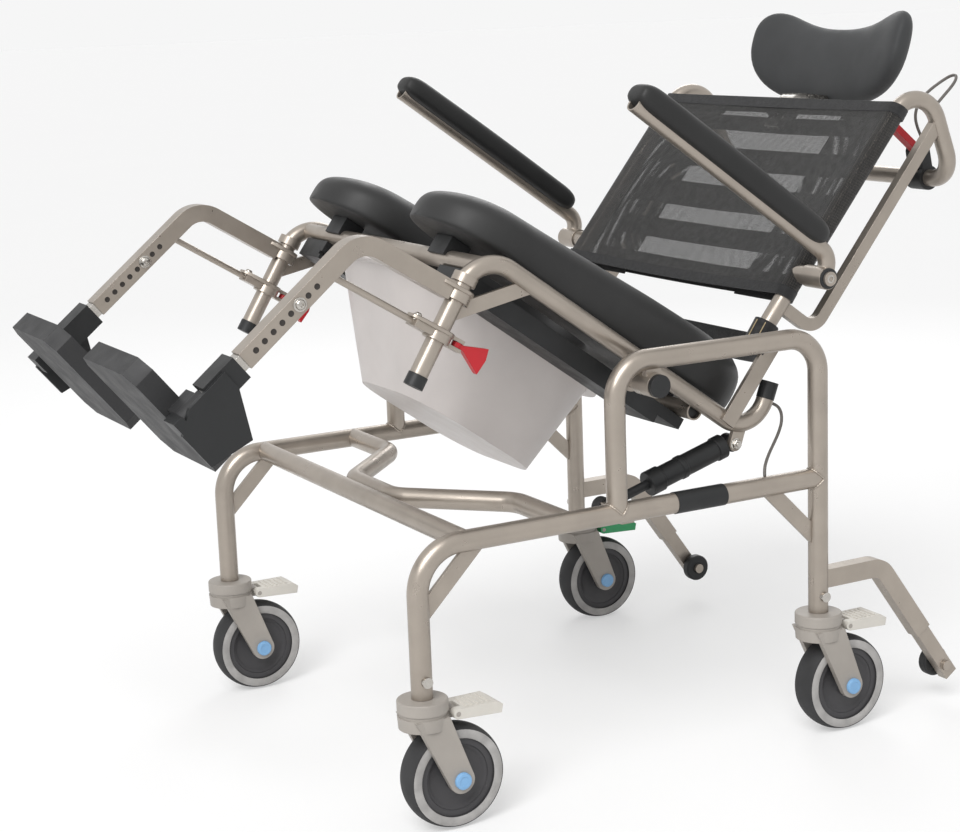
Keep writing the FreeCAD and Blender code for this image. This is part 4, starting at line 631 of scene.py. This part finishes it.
HEAD_PAD_HALF = 162.0
HEAD_PAD_BOW = 30.0
HEAD_PAD_HEIGHT = 102.0
HEAD_PAD_THICK = 40.0
HEAD_PAD_LEAN_DEG = 18.0
HEAD_PAD_U = 216.0
HEAD_PAD_W = 583.0
HEAD_PAD_POWER = 2.5
HEAD_STATIONS = (
    # share across, low edge, high edge, bow, thickness
    (0.0, -0.55, 0.50, 0.0, 1.0),
    (0.15, -0.55, 0.505, 0.02, 1.0),
    (0.30, -0.54, 0.525, 0.06, 1.0),
    (0.45, -0.52, 0.57, 0.14, 1.0),
    (0.58, -0.49, 0.63, 0.26, 1.0),
    (0.70, -0.43, 0.69, 0.40, 0.99),
    (0.80, -0.36, 0.71, 0.56, 0.96),
    (0.88, -0.26, 0.69, 0.71, 0.90),
    (0.94, -0.15, 0.63, 0.83, 0.80),
    (0.98, -0.01, 0.54, 0.94, 0.60),
    (1.0, 0.12, 0.42, 1.0, 0.30),
)


def build_head_pad():
    """Make the headrest pad: a curved pad with raised wings."""
    head = SEAT @ Matrix.Translation((0, HEAD_PAD_U, HEAD_PAD_W)) @ turn_x(HEAD_PAD_LEAN_DEG)
    far = [(-share, *rest) for share, *rest in reversed(HEAD_STATIONS[1:])]
    rings = []
    for share, low, high, bow, thick in far + list(HEAD_STATIONS):
        middle = (low + high) / 2 * HEAD_PAD_HEIGHT
        half = (high - low) / 2 * HEAD_PAD_HEIGHT
        ring = []
        for u, w in ring_of(thick * HEAD_PAD_THICK / 2, half, HEAD_PAD_POWER, PAD_POINTS):
            ring.append(place(head, share * HEAD_PAD_HALF, u - bow * HEAD_PAD_BOW, middle + w))
        rings.append(ring)
    form = Form()
    form.rings(rings)
    pad = form.make("headrest_foam", "headrest", "head_skin", subdivide=1)
    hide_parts("headrest_pad")


# Back sling: mesh cloth wrapped round the posts, drawn tight by straps behind

SLING_BOTTOM_W = 194.0
SLING_TOP_W = 486.0
SLING_FLAP = 118.0
SLING_SAG = 16.0
SLING_WRAP_R = 12.4
SLING_ROWS = 30
SLING_COLUMNS = 34
WRAP_STEPS = 10
FLAP_STEPS = 6
REAR_STRAPS = ((216.0, 34.0), (276.0, 30.0), (336.0, 38.0), (400.0, 34.0), (459.0, 24.0))
REAR_STRAP_BULGE = 5.0
REAR_STRAP_INSET = 30.0
REAR_STRAP_STEPS = 12
STRAP_THICK = 1.6
HEM_WIDTH = 14.0
HEM_THICK = 1.4
HEM_PROUD = 0.7
RIPPLE = 0.8
RIPPLE_WAVES = 7
RIPPLE_SPREAD = 40.0


def sling_section():
    """Return the cloth's line round the posts: x, u from the line of posts and a share of the sag."""
    points = []
    for step in range(FLAP_STEPS):
        points.append((SEAT_HALF_WIDTH - SLING_FLAP * (1 - step / FLAP_STEPS), SLING_WRAP_R, 0.0))
    for step in range(WRAP_STEPS + 1):
        angle = math.pi / 2 - math.pi * step / WRAP_STEPS
        x = SEAT_HALF_WIDTH + SLING_WRAP_R * math.cos(angle)
        points.append((x, SLING_WRAP_R * math.sin(angle), 0.0))
    for step in range(1, SLING_COLUMNS):
        share = 1 - 2 * step / SLING_COLUMNS
        points.append((SEAT_HALF_WIDTH * share, -SLING_WRAP_R, 1 - share * share))
    for x, u, sag in reversed(points[:FLAP_STEPS + WRAP_STEPS + 1]):
        points.append((-x, u, sag))
    return points


def sling_sag(share):
    """Return how far the cloth's middle hangs back at a share of its height: little under the taut top."""
    return SLING_SAG * (0.55 - 0.35 * share + 0.45 * math.sin(math.pi * share))


def build_sling():
    """Make the back cloth, its straps and its hems."""
    section = sling_section()
    rows = []
    widths = [0.0]
    for before, after in zip(section, section[1:]):
        widths.append(widths[-1] + math.dist(before[:2], after[:2]))
    for row in range(SLING_ROWS + 1):
        share = row / SLING_ROWS
        w = SLING_BOTTOM_W + (SLING_TOP_W - SLING_BOTTOM_W) * share
        sag = sling_sag(share)
        line = []
        for x, u, pull in section:
            wave = math.sin(RIPPLE_WAVES * math.pi * share) * math.cos(x / RIPPLE_SPREAD)
            ripple = RIPPLE * pull * wave
            line.append(place(SEAT, x, back_u(w) + u + sag * pull + ripple, w))
        rows.append(line)
    form = Form()
    form.rings(rows, closed=False, capped=False)
    sling = form.make("back_cloth", "tilt_frame", "sling_mesh", crease_deg=180.0)
    cloth = sling.data.uv_layers.new(name="cloth")
    height = SLING_TOP_W - SLING_BOTTOM_W
    for loop in sling.data.loops:
        row, column = divmod(loop.vertex_index, len(section))
        cloth.data[loop.index].uv = (widths[column] * MM, height * row / SLING_ROWS * MM)
    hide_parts("back_sling")

    straps = Form()
    for w, width in REAR_STRAPS:
        behind = back_u(w) + SLING_WRAP_R + STRAP_THICK
        centres = []
        for step in range(REAR_STRAP_STEPS + 1):
            share = step / REAR_STRAP_STEPS
            x = (SEAT_HALF_WIDTH - REAR_STRAP_INSET) * (1 - 2 * share)
            centres.append(place(SEAT, x, behind + REAR_STRAP_BULGE * math.sin(math.pi * share), w))
        straps.strap(centres, [heading(SEAT, 0, 0, 1)] * len(centres), width, STRAP_THICK)
    strap_piece = straps.make("back_straps", "tilt_frame", "strap_web")
    hems = Form()
    for w, rise, share in ((SLING_TOP_W, -HEM_WIDTH / 2, 1.0), (SLING_BOTTOM_W, HEM_WIDTH / 2, 0.0)):
        centres = []
        for x, u, pull in section:
            sag = sling_sag(share) * pull
            outward = 1.0 if u > 0 else -1.0
            proud = outward * HEM_PROUD * (1 - abs(pull))
            centres.append(place(SEAT, x, back_u(w) + u + sag + proud, w + rise))
        hems.strap(centres, [heading(SEAT, 0, 0, 1)] * len(centres), HEM_WIDTH, HEM_THICK)
    hem_piece = hems.make("back_hems", "tilt_frame", "strap_web")


# Cables: the control points of the routes, as the frame has them

CABLE_D = 4.0
UPPER_CABLE = (
    (250, 210.1, 525.2), (250.5, 213.2, 539.6), (250, 217.2, 554.1), (246.5, 221.2, 567.1),
    (238.5, 224.2, 576.6), (227.5, 225.2, 576.6), (218.5, 223.7, 567.6), (211.5, 220.2, 554.1),
    (206, 218, 540.3), (202.5, 218.8, 526.1), (200.3, 225.2, 513.3), (199.5, 237, 504.5),
    (199.5, 248.5, 499), (199.5, 261.4, 491.9),
)
LOWER_CABLE = (
    (250, 246.3, 431.3), (250.3, 254.8, 428.2), (252, 260.7, 419.5), (255.5, 259.3, 407.5),
    (260.5, 251, 396), (266.5, 239.5, 385.5), (273, 227.5, 376.3), (280, 216.5, 367.5),
    (286, 208.5, 358.5), (290, 206, 349.9),
)
CABLE_SIDES = 12


def route_curve(name, points):
    """Return a smooth curve with these control points."""
    curve = bpy.data.curves.new(name, "CURVE")
    curve.dimensions = "3D"
    curve.resolution_u = 8
    spline = curve.splines.new("NURBS")
    spline.points.add(len(points) - 1)
    for knot, point in zip(spline.points, points):
        knot.co = (*point, 1.0)
    spline.order_u = 3
    spline.use_endpoint_u = True
    made = bpy.data.objects.new(name, curve)
    bpy.context.scene.collection.objects.link(made)
    return made


def build_handle_cable():
    """Make the cable loop by the push handle."""
    points = [place(SEAT, *point) for point in UPPER_CABLE]
    cable = route_curve("handle_cable_jacket", points)
    cable.data.bevel_depth = CABLE_D / 2 * MM
    cable.data.bevel_resolution = 4
    cable.data.use_fill_caps = True
    cable.data.materials.append(FINISHES["cable_jacket"])
    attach(cable, "tilt_frame")
    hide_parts("handle_cable")


def build_tilt_cable():
    """Make the cable from the tilting frame down to the base rail."""
    points = [place(CHAIR, *point) for point in LOWER_CABLE]
    guide = route_curve("tilt_cable_route", points)
    bpy.context.view_layer.update()
    line = bpy.data.meshes.new_from_object(guide.evaluated_get(bpy.context.evaluated_depsgraph_get()))
    path = [vertex.co.copy() for vertex in line.vertices]
    bpy.data.objects.remove(guide)
    bpy.data.meshes.remove(line)
    rings = []
    aside = Vector((1, 0, 0))
    for index, point in enumerate(path):
        ahead = (path[min(index + 1, len(path) - 1)] - path[max(index - 1, 0)]).normalized()
        aside = (aside - ahead * aside.dot(ahead)).normalized()
        across = ahead.cross(aside)
        ring = []
        for step in range(CABLE_SIDES):
            angle = 2 * math.pi * step / CABLE_SIDES
            ring.append(point + (aside * math.cos(angle) + across * math.sin(angle)) * CABLE_D / 2 * MM)
        rings.append(ring)
    form = Form()
    form.rings(rings)
    cable = form.make("tilt_cable_jacket", None, "cable_jacket")
    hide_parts("tilt_cable")
    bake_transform(cable)


# Castor trim: pale tyre sides, dished discs, blue axle caps and ribs on the pedals. The profiles are
# radius and rise over the face that they sit on.

TYRE_SIDE_FACE = 17.0
TYRE_SIDE = ((47.5, -3.0), (47.5, 0.2), (49.0, 0.9), (55.5, 0.9), (58.6, -0.2), (58.6, -3.0), (47.5, -3.0))
FORK_OUTER_FACE = 27.0
AXLE_CAP = ((10.2, 0.2), (10.2, 3.6), (9.4, 4.6), (6.0, 5.2), (5.6, 4.7), (0.01, 4.9))
WHEEL_DISC_FACE = 10.0
WHEEL_DISC = (
    (14.2, -1.0), (14.2, 2.4), (17.5, 2.0), (33.0, 0.5), (35.5, 1.6), (37.5, 3.2), (39.9, 3.6),
    (39.9, -1.0), (14.2, -1.0),
)
PEDAL_RIBS = 5
PEDAL_RIB_START = 16.0
PEDAL_RIB_PITCH = 7.0
PEDAL_RIB_SHARE = 0.78
PEDAL_RIB = ((-1.6, -0.6), (-1.1, 1.2), (1.1, 1.2), (1.6, -0.6))


def over(face, profile):
    """Return a profile set on a face."""
    return [(radius, face + rise) for radius, rise in profile]


def build_castor_trim():
    """Make the wheels' sides and discs, the axle caps and the pedals' ribs."""
    for corner in CASTORS:
        hub = joint_places["wheel_spin_" + corner]
        rings = Form()
        caps = Form()
        discs = Form()
        for sign in (1, -1):
            out = Vector((sign, 0, 0))
            rings.lathe(hub, out, over(TYRE_SIDE_FACE, TYRE_SIDE), 64)
            caps.lathe(hub, out, over(FORK_OUTER_FACE, AXLE_CAP), 32)
            discs.lathe(hub, out, over(WHEEL_DISC_FACE, WHEEL_DISC), 64)
        discs.make("wheel_discs_" + corner, "wheel_" + corner, "hub_plastic")
        rings.make("tyre_sides_" + corner, "wheel_" + corner, "tyre_side")
        caps.make("axle_caps_" + corner, "castor_" + corner, "cap_blue")

        low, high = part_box("brake_pedal_" + corner)
        middle_x = (low.x + high.x) / 2
        half_x = (high.x - low.x) / 2 * PEDAL_RIB_SHARE
        ribs = Form()
        for rib in range(PEDAL_RIBS):
            y = high.y - (PEDAL_RIB_START + PEDAL_RIB_PITCH * rib) * MM
            ends = []
            for x in (middle_x - half_x, middle_x + half_x):
                ends.append([Vector((x, y + aside * MM, high.z + rise * MM)) for aside, rise in PEDAL_RIB])
            ribs.rings(ends)
        finish = "pedal_green" if corner == "rear_right" else "pedal_grey"
        ribs.make("pedal_ribs_" + corner, "pedal_" + corner, finish)


# Legrest trim: adjusting holes drawn as dark discs of painted shade, the bolt in one of them, and the hanger's
# fasteners

HOLE_DROPS = (74.0, 88.0, 116.0, 130.0, 144.0, 158.0, 172.0)
BOLT_DROP = 102.0
HOLE_R = 2.6
HOLE_RIM = (
    (0.01, 0.05), (HOLE_R, 0.05), (HOLE_R + 0.5, 0.3), (HOLE_R + 1.0, 0.05), (HOLE_R + 1.0, -0.5),
)
BOLT_WASHER = ((8.2, -0.2), (8.2, 1.2), (7.6, 1.6))
PLATES = ((-50.5, -31.0), (-102.0, -43.0))
PLATE_HALF = 13.0
PLATE_REAR_R = 18.0
PLATE_REAR_STEPS = 12
PLATE_CORNER = 5.0
PLATE_EDGE = 0.8
PLATE_THICK = 5.0
STUD_SETBACK = 9.0


def build_legrest_trim():
    """Make the holes, drawn as dark discs of painted shade, and bolts on the legrest tubes and the plates on their
    hangers.
    """
    for side, sign in SIDES:
        holes = Form()
        bolts = Form()
        for face in (1, -1):
            wall_x = sign * (SEAT_HALF_WIDTH + face * LEG_TUBE / 2)
            out = Vector((sign * face, 0, 0))
            for drop in HOLE_DROPS:
                # Each hole is a flat dark disc of painted shade laid on the tube wall.
                holes.lathe(place(LEG, wall_x, 0, -drop), out, HOLE_RIM, 20)
            base = place(LEG, wall_x, 0, -BOLT_DROP)
            bolts.lathe(base, out, BOLT_WASHER, 28)
            dome_bolt(bolts, base + out * 1.4 * MM, out, 6.0, 4.0)
        plates = Form()
        middle = sign * SEAT_HALF_WIDTH
        up = heading(HANGER, 0, 0, 1)
        for top, front in PLATES:
            corner_x = PLATE_HALF - PLATE_CORNER
            corner_y = front + PLATE_CORNER
            outline = [(PLATE_HALF, corner_y), (corner_x, front), (-corner_x, front), (-PLATE_HALF, corner_y)]
            for step in range(PLATE_REAR_STEPS + 1):
                angle = math.pi * (1 - step / PLATE_REAR_STEPS)
                outline.append((PLATE_REAR_R * math.cos(angle), PLATE_REAR_R * math.sin(angle)))
            base = top - PLATE_THICK
            layers = []
            edges = ((top, PLATE_EDGE), (top - PLATE_EDGE, 0.0), (base + PLATE_EDGE, 0.0), (base, PLATE_EDGE))
            for w, inset in edges:
                layer = []
                for x, y in outline:
                    layer.append(place(HANGER, middle + x * (1 - inset / 16), y * (1 - inset / 24), w))
                layers.append(layer)
            plates.rings(layers)
            stud = place(HANGER, middle, front + STUD_SETBACK, top)
            dome_bolt(bolts, stud, up, 5.0, 4.0)
            hex_nut(bolts, stud - up * PLATE_THICK * MM, -up, 5.2, 5.0)
        plates.make("hanger_plates_" + side, "legrest_" + side, "frame_metal")
        holes.make("legrest_holes_" + side, "legrest_" + side, "painted_hole_shade")
        bolts.make("legrest_bolts_" + side, "legrest_" + side, "bright_steel")


# Pivot trim: bolts on the arm hubs, the strut's collars and its upper bolt, and plugs in the cross tubes

ARM_PIVOT_W = 231.0
ARM_HUB_FACE = 311.0
STRUT_HEAD_U = 181.0
STRUT_HEAD_W = 6.0
STRUT_X = 240.0
STRUT_FOOT = (240.0, 0.0, 332.0)
STRUT_EYE_R = 11.0
STRUT_BARREL_R = 14.0
STRUT_COLLARS = ((0.0, 13.0, 1.6), (62.0, 70.0, 1.1), (98.0, 118.0, 2.0))
COLLAR_EDGE = 0.8
STRUT_LUG_FACE = 254.3
ARM_WASHER = ((13.0, -0.2), (13.0, 1.2), (12.2, 1.9), (9.0, 2.1))
PLUG_DEPTH = 9.0
PLUG = ((9.2, -4.0), (9.2, 0.0), (7.6, 0.8), (0.01, 0.8))


def build_pivot_trim():
    """Make the fasteners on the arm pivots, the strut's trim and the cross tubes' plugs."""
    for side, sign in SIDES:
        out = Vector((sign, 0, 0))
        washers = Form()
        bolts = Form()
        base = place(SEAT, sign * ARM_HUB_FACE, back_u(ARM_PIVOT_W), ARM_PIVOT_W)
        washers.lathe(base, out, ARM_WASHER, 32)
        dome_bolt(bolts, base + out * 1.9 * MM, out, 7.2, 4.2)
        washers.make("arm_washer_" + side, "armrest_" + side, "black_plastic")
        bolts.make("arm_bolt_" + side, "armrest_" + side, "bright_steel")

    head = place(SEAT, STRUT_X, STRUT_HEAD_U, STRUT_HEAD_W)
    foot = place(CHAIR, *STRUT_FOOT)
    along = (foot - head).normalized()
    start = head + along * STRUT_EYE_R * MM
    collars = Form()
    for low, high, proud in STRUT_COLLARS:
        radius = STRUT_BARREL_R + proud
        collars.lathe(start, along, [
            (STRUT_BARREL_R - 1.0, low), (radius - COLLAR_EDGE, low), (radius, low + COLLAR_EDGE),
            (radius, high - COLLAR_EDGE), (radius - COLLAR_EDGE, high), (STRUT_BARREL_R - 1.0, high),
        ], 40)
    collars.make("strut_collars", "strut_barrel", "black_plastic")
    lug_bolt = Form()
    lug = place(SEAT, STRUT_LUG_FACE, STRUT_HEAD_U, STRUT_HEAD_W)
    hex_nut(lug_bolt, lug, Vector((1, 0, 0)), 6.4, 5.0)
    lug_bolt.make("strut_lug_bolt", "tilt_frame", "bright_steel")

    plugs = Form()
    for _, sign in SIDES:
        for u in CROSS_TUBE_U:
            mouth = place(SEAT, sign * (SEAT_HALF_WIDTH - PLUG_DEPTH), u, CROSS_TUBE_W)
            plugs.lathe(mouth, Vector((sign, 0, 0)), PLUG, 28)
    plugs.make("cross_tube_plugs", "tilt_frame", "black_plastic")


# Weld beads where the base tubes meet

BASE_TUBE_R = 12.7
BASE_HALF_WIDTH = 295.0
LOWER_RAIL_Z = 338.0
ARCH_POST_Y = -15.0
REAR_LEG_Y = 285.0
BEAD_R = 1.5
BEAD_RIPPLE = 0.3
BEAD_RIPPLE_TURN = 2.2
BEAD_STEPS = 72
BEAD_SIDES = 8
BEAD_LIFT = 0.3


def weld_bead(form, centre, stub, through):
    """Lay a rippled bead where a tube's end meets another tube of its own size."""
    aside = through.cross(stub)
    path = []
    for step in range(BEAD_STEPS):
        angle = 2 * math.pi * step / BEAD_STEPS
        spoke = through * math.sin(angle) + aside * math.cos(angle)
        rise = stub * abs(math.sin(angle)) * BASE_TUBE_R
        path.append(centre + (spoke * (BASE_TUBE_R + BEAD_LIFT) + rise) * MM)
    rings = []
    for step, point in enumerate(path):
        ahead = (path[(step + 1) % BEAD_STEPS] - path[step - 1]).normalized()
        out = (stub - ahead * stub.dot(ahead)).normalized()
        across = ahead.cross(out)
        radius = BEAD_R + BEAD_RIPPLE * math.sin(step * BEAD_RIPPLE_TURN)
        ring = []
        for turn in range(BEAD_SIDES):
            angle = 2 * math.pi * turn / BEAD_SIDES
            ring.append(point + (out * math.cos(angle) + across * math.sin(angle)) * radius * MM)
        rings.append(ring)
    form.rings(rings + rings[:1], capped=False)


def build_welds():
    """Make the beads at the feet of the arches and at the rear legs."""
    beads = Form()
    up = Vector((0, 0, 1))
    rear = Vector((0, 1, 0))
    for _, sign in SIDES:
        weld_bead(beads, place(CHAIR, sign * BASE_HALF_WIDTH, ARCH_POST_Y, LOWER_RAIL_Z), up, rear)
        weld_bead(beads, place(CHAIR, sign * BASE_HALF_WIDTH, REAR_LEG_Y, LOWER_RAIL_Z), -rear, up)
    beads.make("weld_beads", "base", "frame_metal", crease_deg=180.0)


# Lower back strap: webbing looped round both posts, with two rows of stitching at each loop

STRAP_W = 136.0
STRAP_WIDTH = 40.0
STRAP_LOOP_R = 15.5
STRAP_SAG_U = 52.0
STRAP_RISE = 8.0
STRAP_SQUARE = 6
WEB_THICK = 2.0
SPAN_STEPS = 24
LOOP_START_DEG = 100
LOOP_SWEEP_DEG = 330
LOOP_STEPS = 14
FACE_RISE = 1.2
STITCH_ROWS = (275.0, 318.0)
STITCH_REACH = 0.42
STITCH_WIDTH = 1.2
STITCH_THICK = 0.8


def strap_line():
    """Return the strap's line round one post as x and u."""
    loop = []
    for step in range(LOOP_STEPS + 1):
        angle = math.radians(LOOP_START_DEG - LOOP_SWEEP_DEG * step / LOOP_STEPS)
        x = SEAT_HALF_WIDTH + STRAP_LOOP_R * math.cos(angle)
        loop.append((x, back_u(STRAP_W) + STRAP_LOOP_R * math.sin(angle)))
    return loop


def build_back_strap():
    """Make the webbing strap between the back posts."""
    up = heading(SEAT, 0, 0, 1)
    straps = Form()
    stitches = Form()
    outer_r = STRAP_LOOP_R + FACE_RISE
    base_u = back_u(STRAP_W) + outer_r
    reach = STRAP_WIDTH * STITCH_REACH
    for _, sign in SIDES:
        loop = [place(SEAT, sign * x, u, STRAP_W) for x, u in strap_line()]
        straps.strap(loop, [up] * len(loop), STRAP_WIDTH, WEB_THICK)
        for row in STITCH_ROWS:
            angle = math.radians(row)
            x = SEAT_HALF_WIDTH + outer_r * math.cos(angle)
            u = back_u(STRAP_W) + outer_r * math.sin(angle)
            ends = [place(SEAT, sign * x, u, STRAP_W - reach), place(SEAT, sign * x, u, STRAP_W + reach)]
            across = heading(SEAT, sign * -math.sin(angle), math.cos(angle), 0)
            stitches.strap(ends, [across] * 2, STITCH_WIDTH, STITCH_THICK)
    span = []
    for step in range(SPAN_STEPS + 1):
        share = 1 - 2 * step / SPAN_STEPS
        hang = 1 - share ** STRAP_SQUARE
        u = base_u + STRAP_SAG_U * hang
        span.append(place(SEAT, SEAT_HALF_WIDTH * share, u, STRAP_W + STRAP_RISE * hang))
    straps.strap(span, [up] * len(span), STRAP_WIDTH, WEB_THICK)
    straps.make("lower_back_strap", "tilt_frame", "strap_web")
    stitches.make("strap_stitching", "tilt_frame", "stitching")


# Camera, light and floor

def build_camera():
    """Set the camera to the photograph's view."""
    azimuth = math.radians(CAMERA_AZIMUTH_DEG)
    elevation = math.radians(CAMERA_ELEVATION_DEG)
    roll = math.radians(CAMERA_ROLL_DEG)
    back = Vector((
        math.sin(azimuth) * math.cos(elevation),
        -math.cos(azimuth) * math.cos(elevation),
        math.sin(elevation),
    ))
    right = Vector((0, 0, 1)).cross(back).normalized()
    up = back.cross(right)
    rolled_right = right * math.cos(roll) + up * math.sin(roll)
    rolled_up = up * math.cos(roll) - right * math.sin(roll)
    lens = bpy.data.cameras.new("photo_camera")
    lens.sensor_fit = "HORIZONTAL"
    lens.sensor_width = SENSOR_MM
    lens.lens = FOCAL_PIXELS / PHOTO_WIDTH * SENSOR_MM
    lens.clip_end = 100.0
    camera = bpy.data.objects.new("photo_camera", lens)
    turned = Matrix((rolled_right, rolled_up, back)).transposed().to_4x4()
    camera.matrix_world = Matrix.Translation(place(CHAIR, *CAMERA_PLACE)) @ turned
    bpy.context.scene.collection.objects.link(camera)
    bpy.context.scene.camera = camera


SUN_STRENGTH = 1.5
SUN_ANGLE_DEG = 32.0
SUN_HEADING = (-0.55, 0.55, -1.0)
LAMP_AIM = (0, 0, 0.5)
LAMPS = (("key", (1.6, -2.2, 2.2), 1.2, 28.0), ("rim", (-2.2, 1.6, 1.9), 1.4, 16.0))
SKY_LIGHT = 0.52
FLOOR_HALF = 60.0
FLOOR_GLOW = 0.45
HORIZON = 0.922


def area_light(name, where, size, watts):
    """Add a soft lamp aimed at the chair's middle."""
    lamp = bpy.data.lights.new(name, "AREA")
    lamp.shape = "DISK"
    lamp.size = size
    lamp.energy = watts
    made = bpy.data.objects.new(name, lamp)
    made.location = where
    made.rotation_euler = (Vector(LAMP_AIM) - Vector(where)).to_track_quat("-Z", "Y").to_euler()
    bpy.context.scene.collection.objects.link(made)


def build_stage():
    """Make the floor, the lamps and the pale surroundings."""
    sun = bpy.data.lights.new("soft_sun", "SUN")
    sun.energy = SUN_STRENGTH
    sun.angle = math.radians(SUN_ANGLE_DEG)
    sun_object = bpy.data.objects.new("soft_sun", sun)
    sun_object.rotation_euler = Vector(SUN_HEADING).to_track_quat("-Z", "Y").to_euler()
    bpy.context.scene.collection.objects.link(sun_object)
    for name, where, size, watts in LAMPS:
        area_light(name, where, size, watts)

    world = bpy.data.worlds.new("studio")
    bpy.context.scene.world = world
    world.use_nodes = True
    nodes = world.node_tree.nodes
    links = world.node_tree.links
    light = nodes["Background"]
    light.inputs["Color"].default_value = (1.0, 1.0, 1.0, 1.0)
    light.inputs["Strength"].default_value = SKY_LIGHT
    seen = nodes.new("ShaderNodeBackground")
    seen.inputs["Color"].default_value = (HORIZON, HORIZON, HORIZON, 1.0)
    rays = nodes.new("ShaderNodeLightPath")
    shiny = nodes.new("ShaderNodeMath")
    shiny.operation = "MAXIMUM"
    links.new(rays.outputs["Is Glossy Ray"], shiny.inputs[0])
    links.new(rays.outputs["Is Transmission Ray"], shiny.inputs[1])
    shown = nodes.new("ShaderNodeMath")
    shown.operation = "MAXIMUM"
    links.new(rays.outputs["Is Camera Ray"], shown.inputs[0])
    links.new(shiny.outputs["Value"], shown.inputs[1])
    mixed = nodes.new("ShaderNodeMixShader")
    links.new(shown.outputs["Value"], mixed.inputs["Fac"])
    links.new(light.outputs["Background"], mixed.inputs[1])
    links.new(seen.outputs["Background"], mixed.inputs[2])
    links.new(mixed.outputs["Shader"], nodes["World Output"].inputs["Surface"])

    floor_finish = Finish("pale_floor")
    floor_finish.colour(linear(249, 249, 249), 0.004, 1.2)
    floor_finish.set(Roughness=0.7, Specular_IOR_Level=0.2)
    glow = floor_finish.node("ShaderNodeEmission")
    paths = floor_finish.node("ShaderNodeLightPath")
    blend = floor_finish.node("ShaderNodeMixShader")
    share = floor_finish.math("MULTIPLY", paths.outputs["Is Camera Ray"], FLOOR_GLOW)
    floor_finish.link(share, blend.inputs["Fac"])
    floor_finish.link(floor_finish.shader.outputs["BSDF"], blend.inputs[1])
    floor_finish.link(glow.outputs["Emission"], blend.inputs[2])
    floor_finish.link(blend.outputs["Shader"], floor_finish.tree.nodes["Material Output"].inputs["Surface"])
    mesh = bpy.data.meshes.new("floor")
    corners = [(-FLOOR_HALF, -FLOOR_HALF, 0), (FLOOR_HALF, -FLOOR_HALF, 0),
               (FLOOR_HALF, FLOOR_HALF, 0), (-FLOOR_HALF, FLOOR_HALF, 0)]
    mesh.from_pydata(corners, [], [(0, 1, 2, 3)])
    mesh.materials.append(floor_finish.material)
    floor = bpy.data.objects.new("floor", mesh)
    bpy.context.scene.collection.objects.link(floor)
    bpy.context.scene.view_settings.view_transform = "Standard"


build_camera()
build_stage()
build_handle_cable()
build_tilt_cable()
build_cushion()
build_arm_pads()
build_head_pad()
build_sling()
build_castor_trim()
build_legrest_trim()
build_pivot_trim()
build_welds()
build_back_strap()
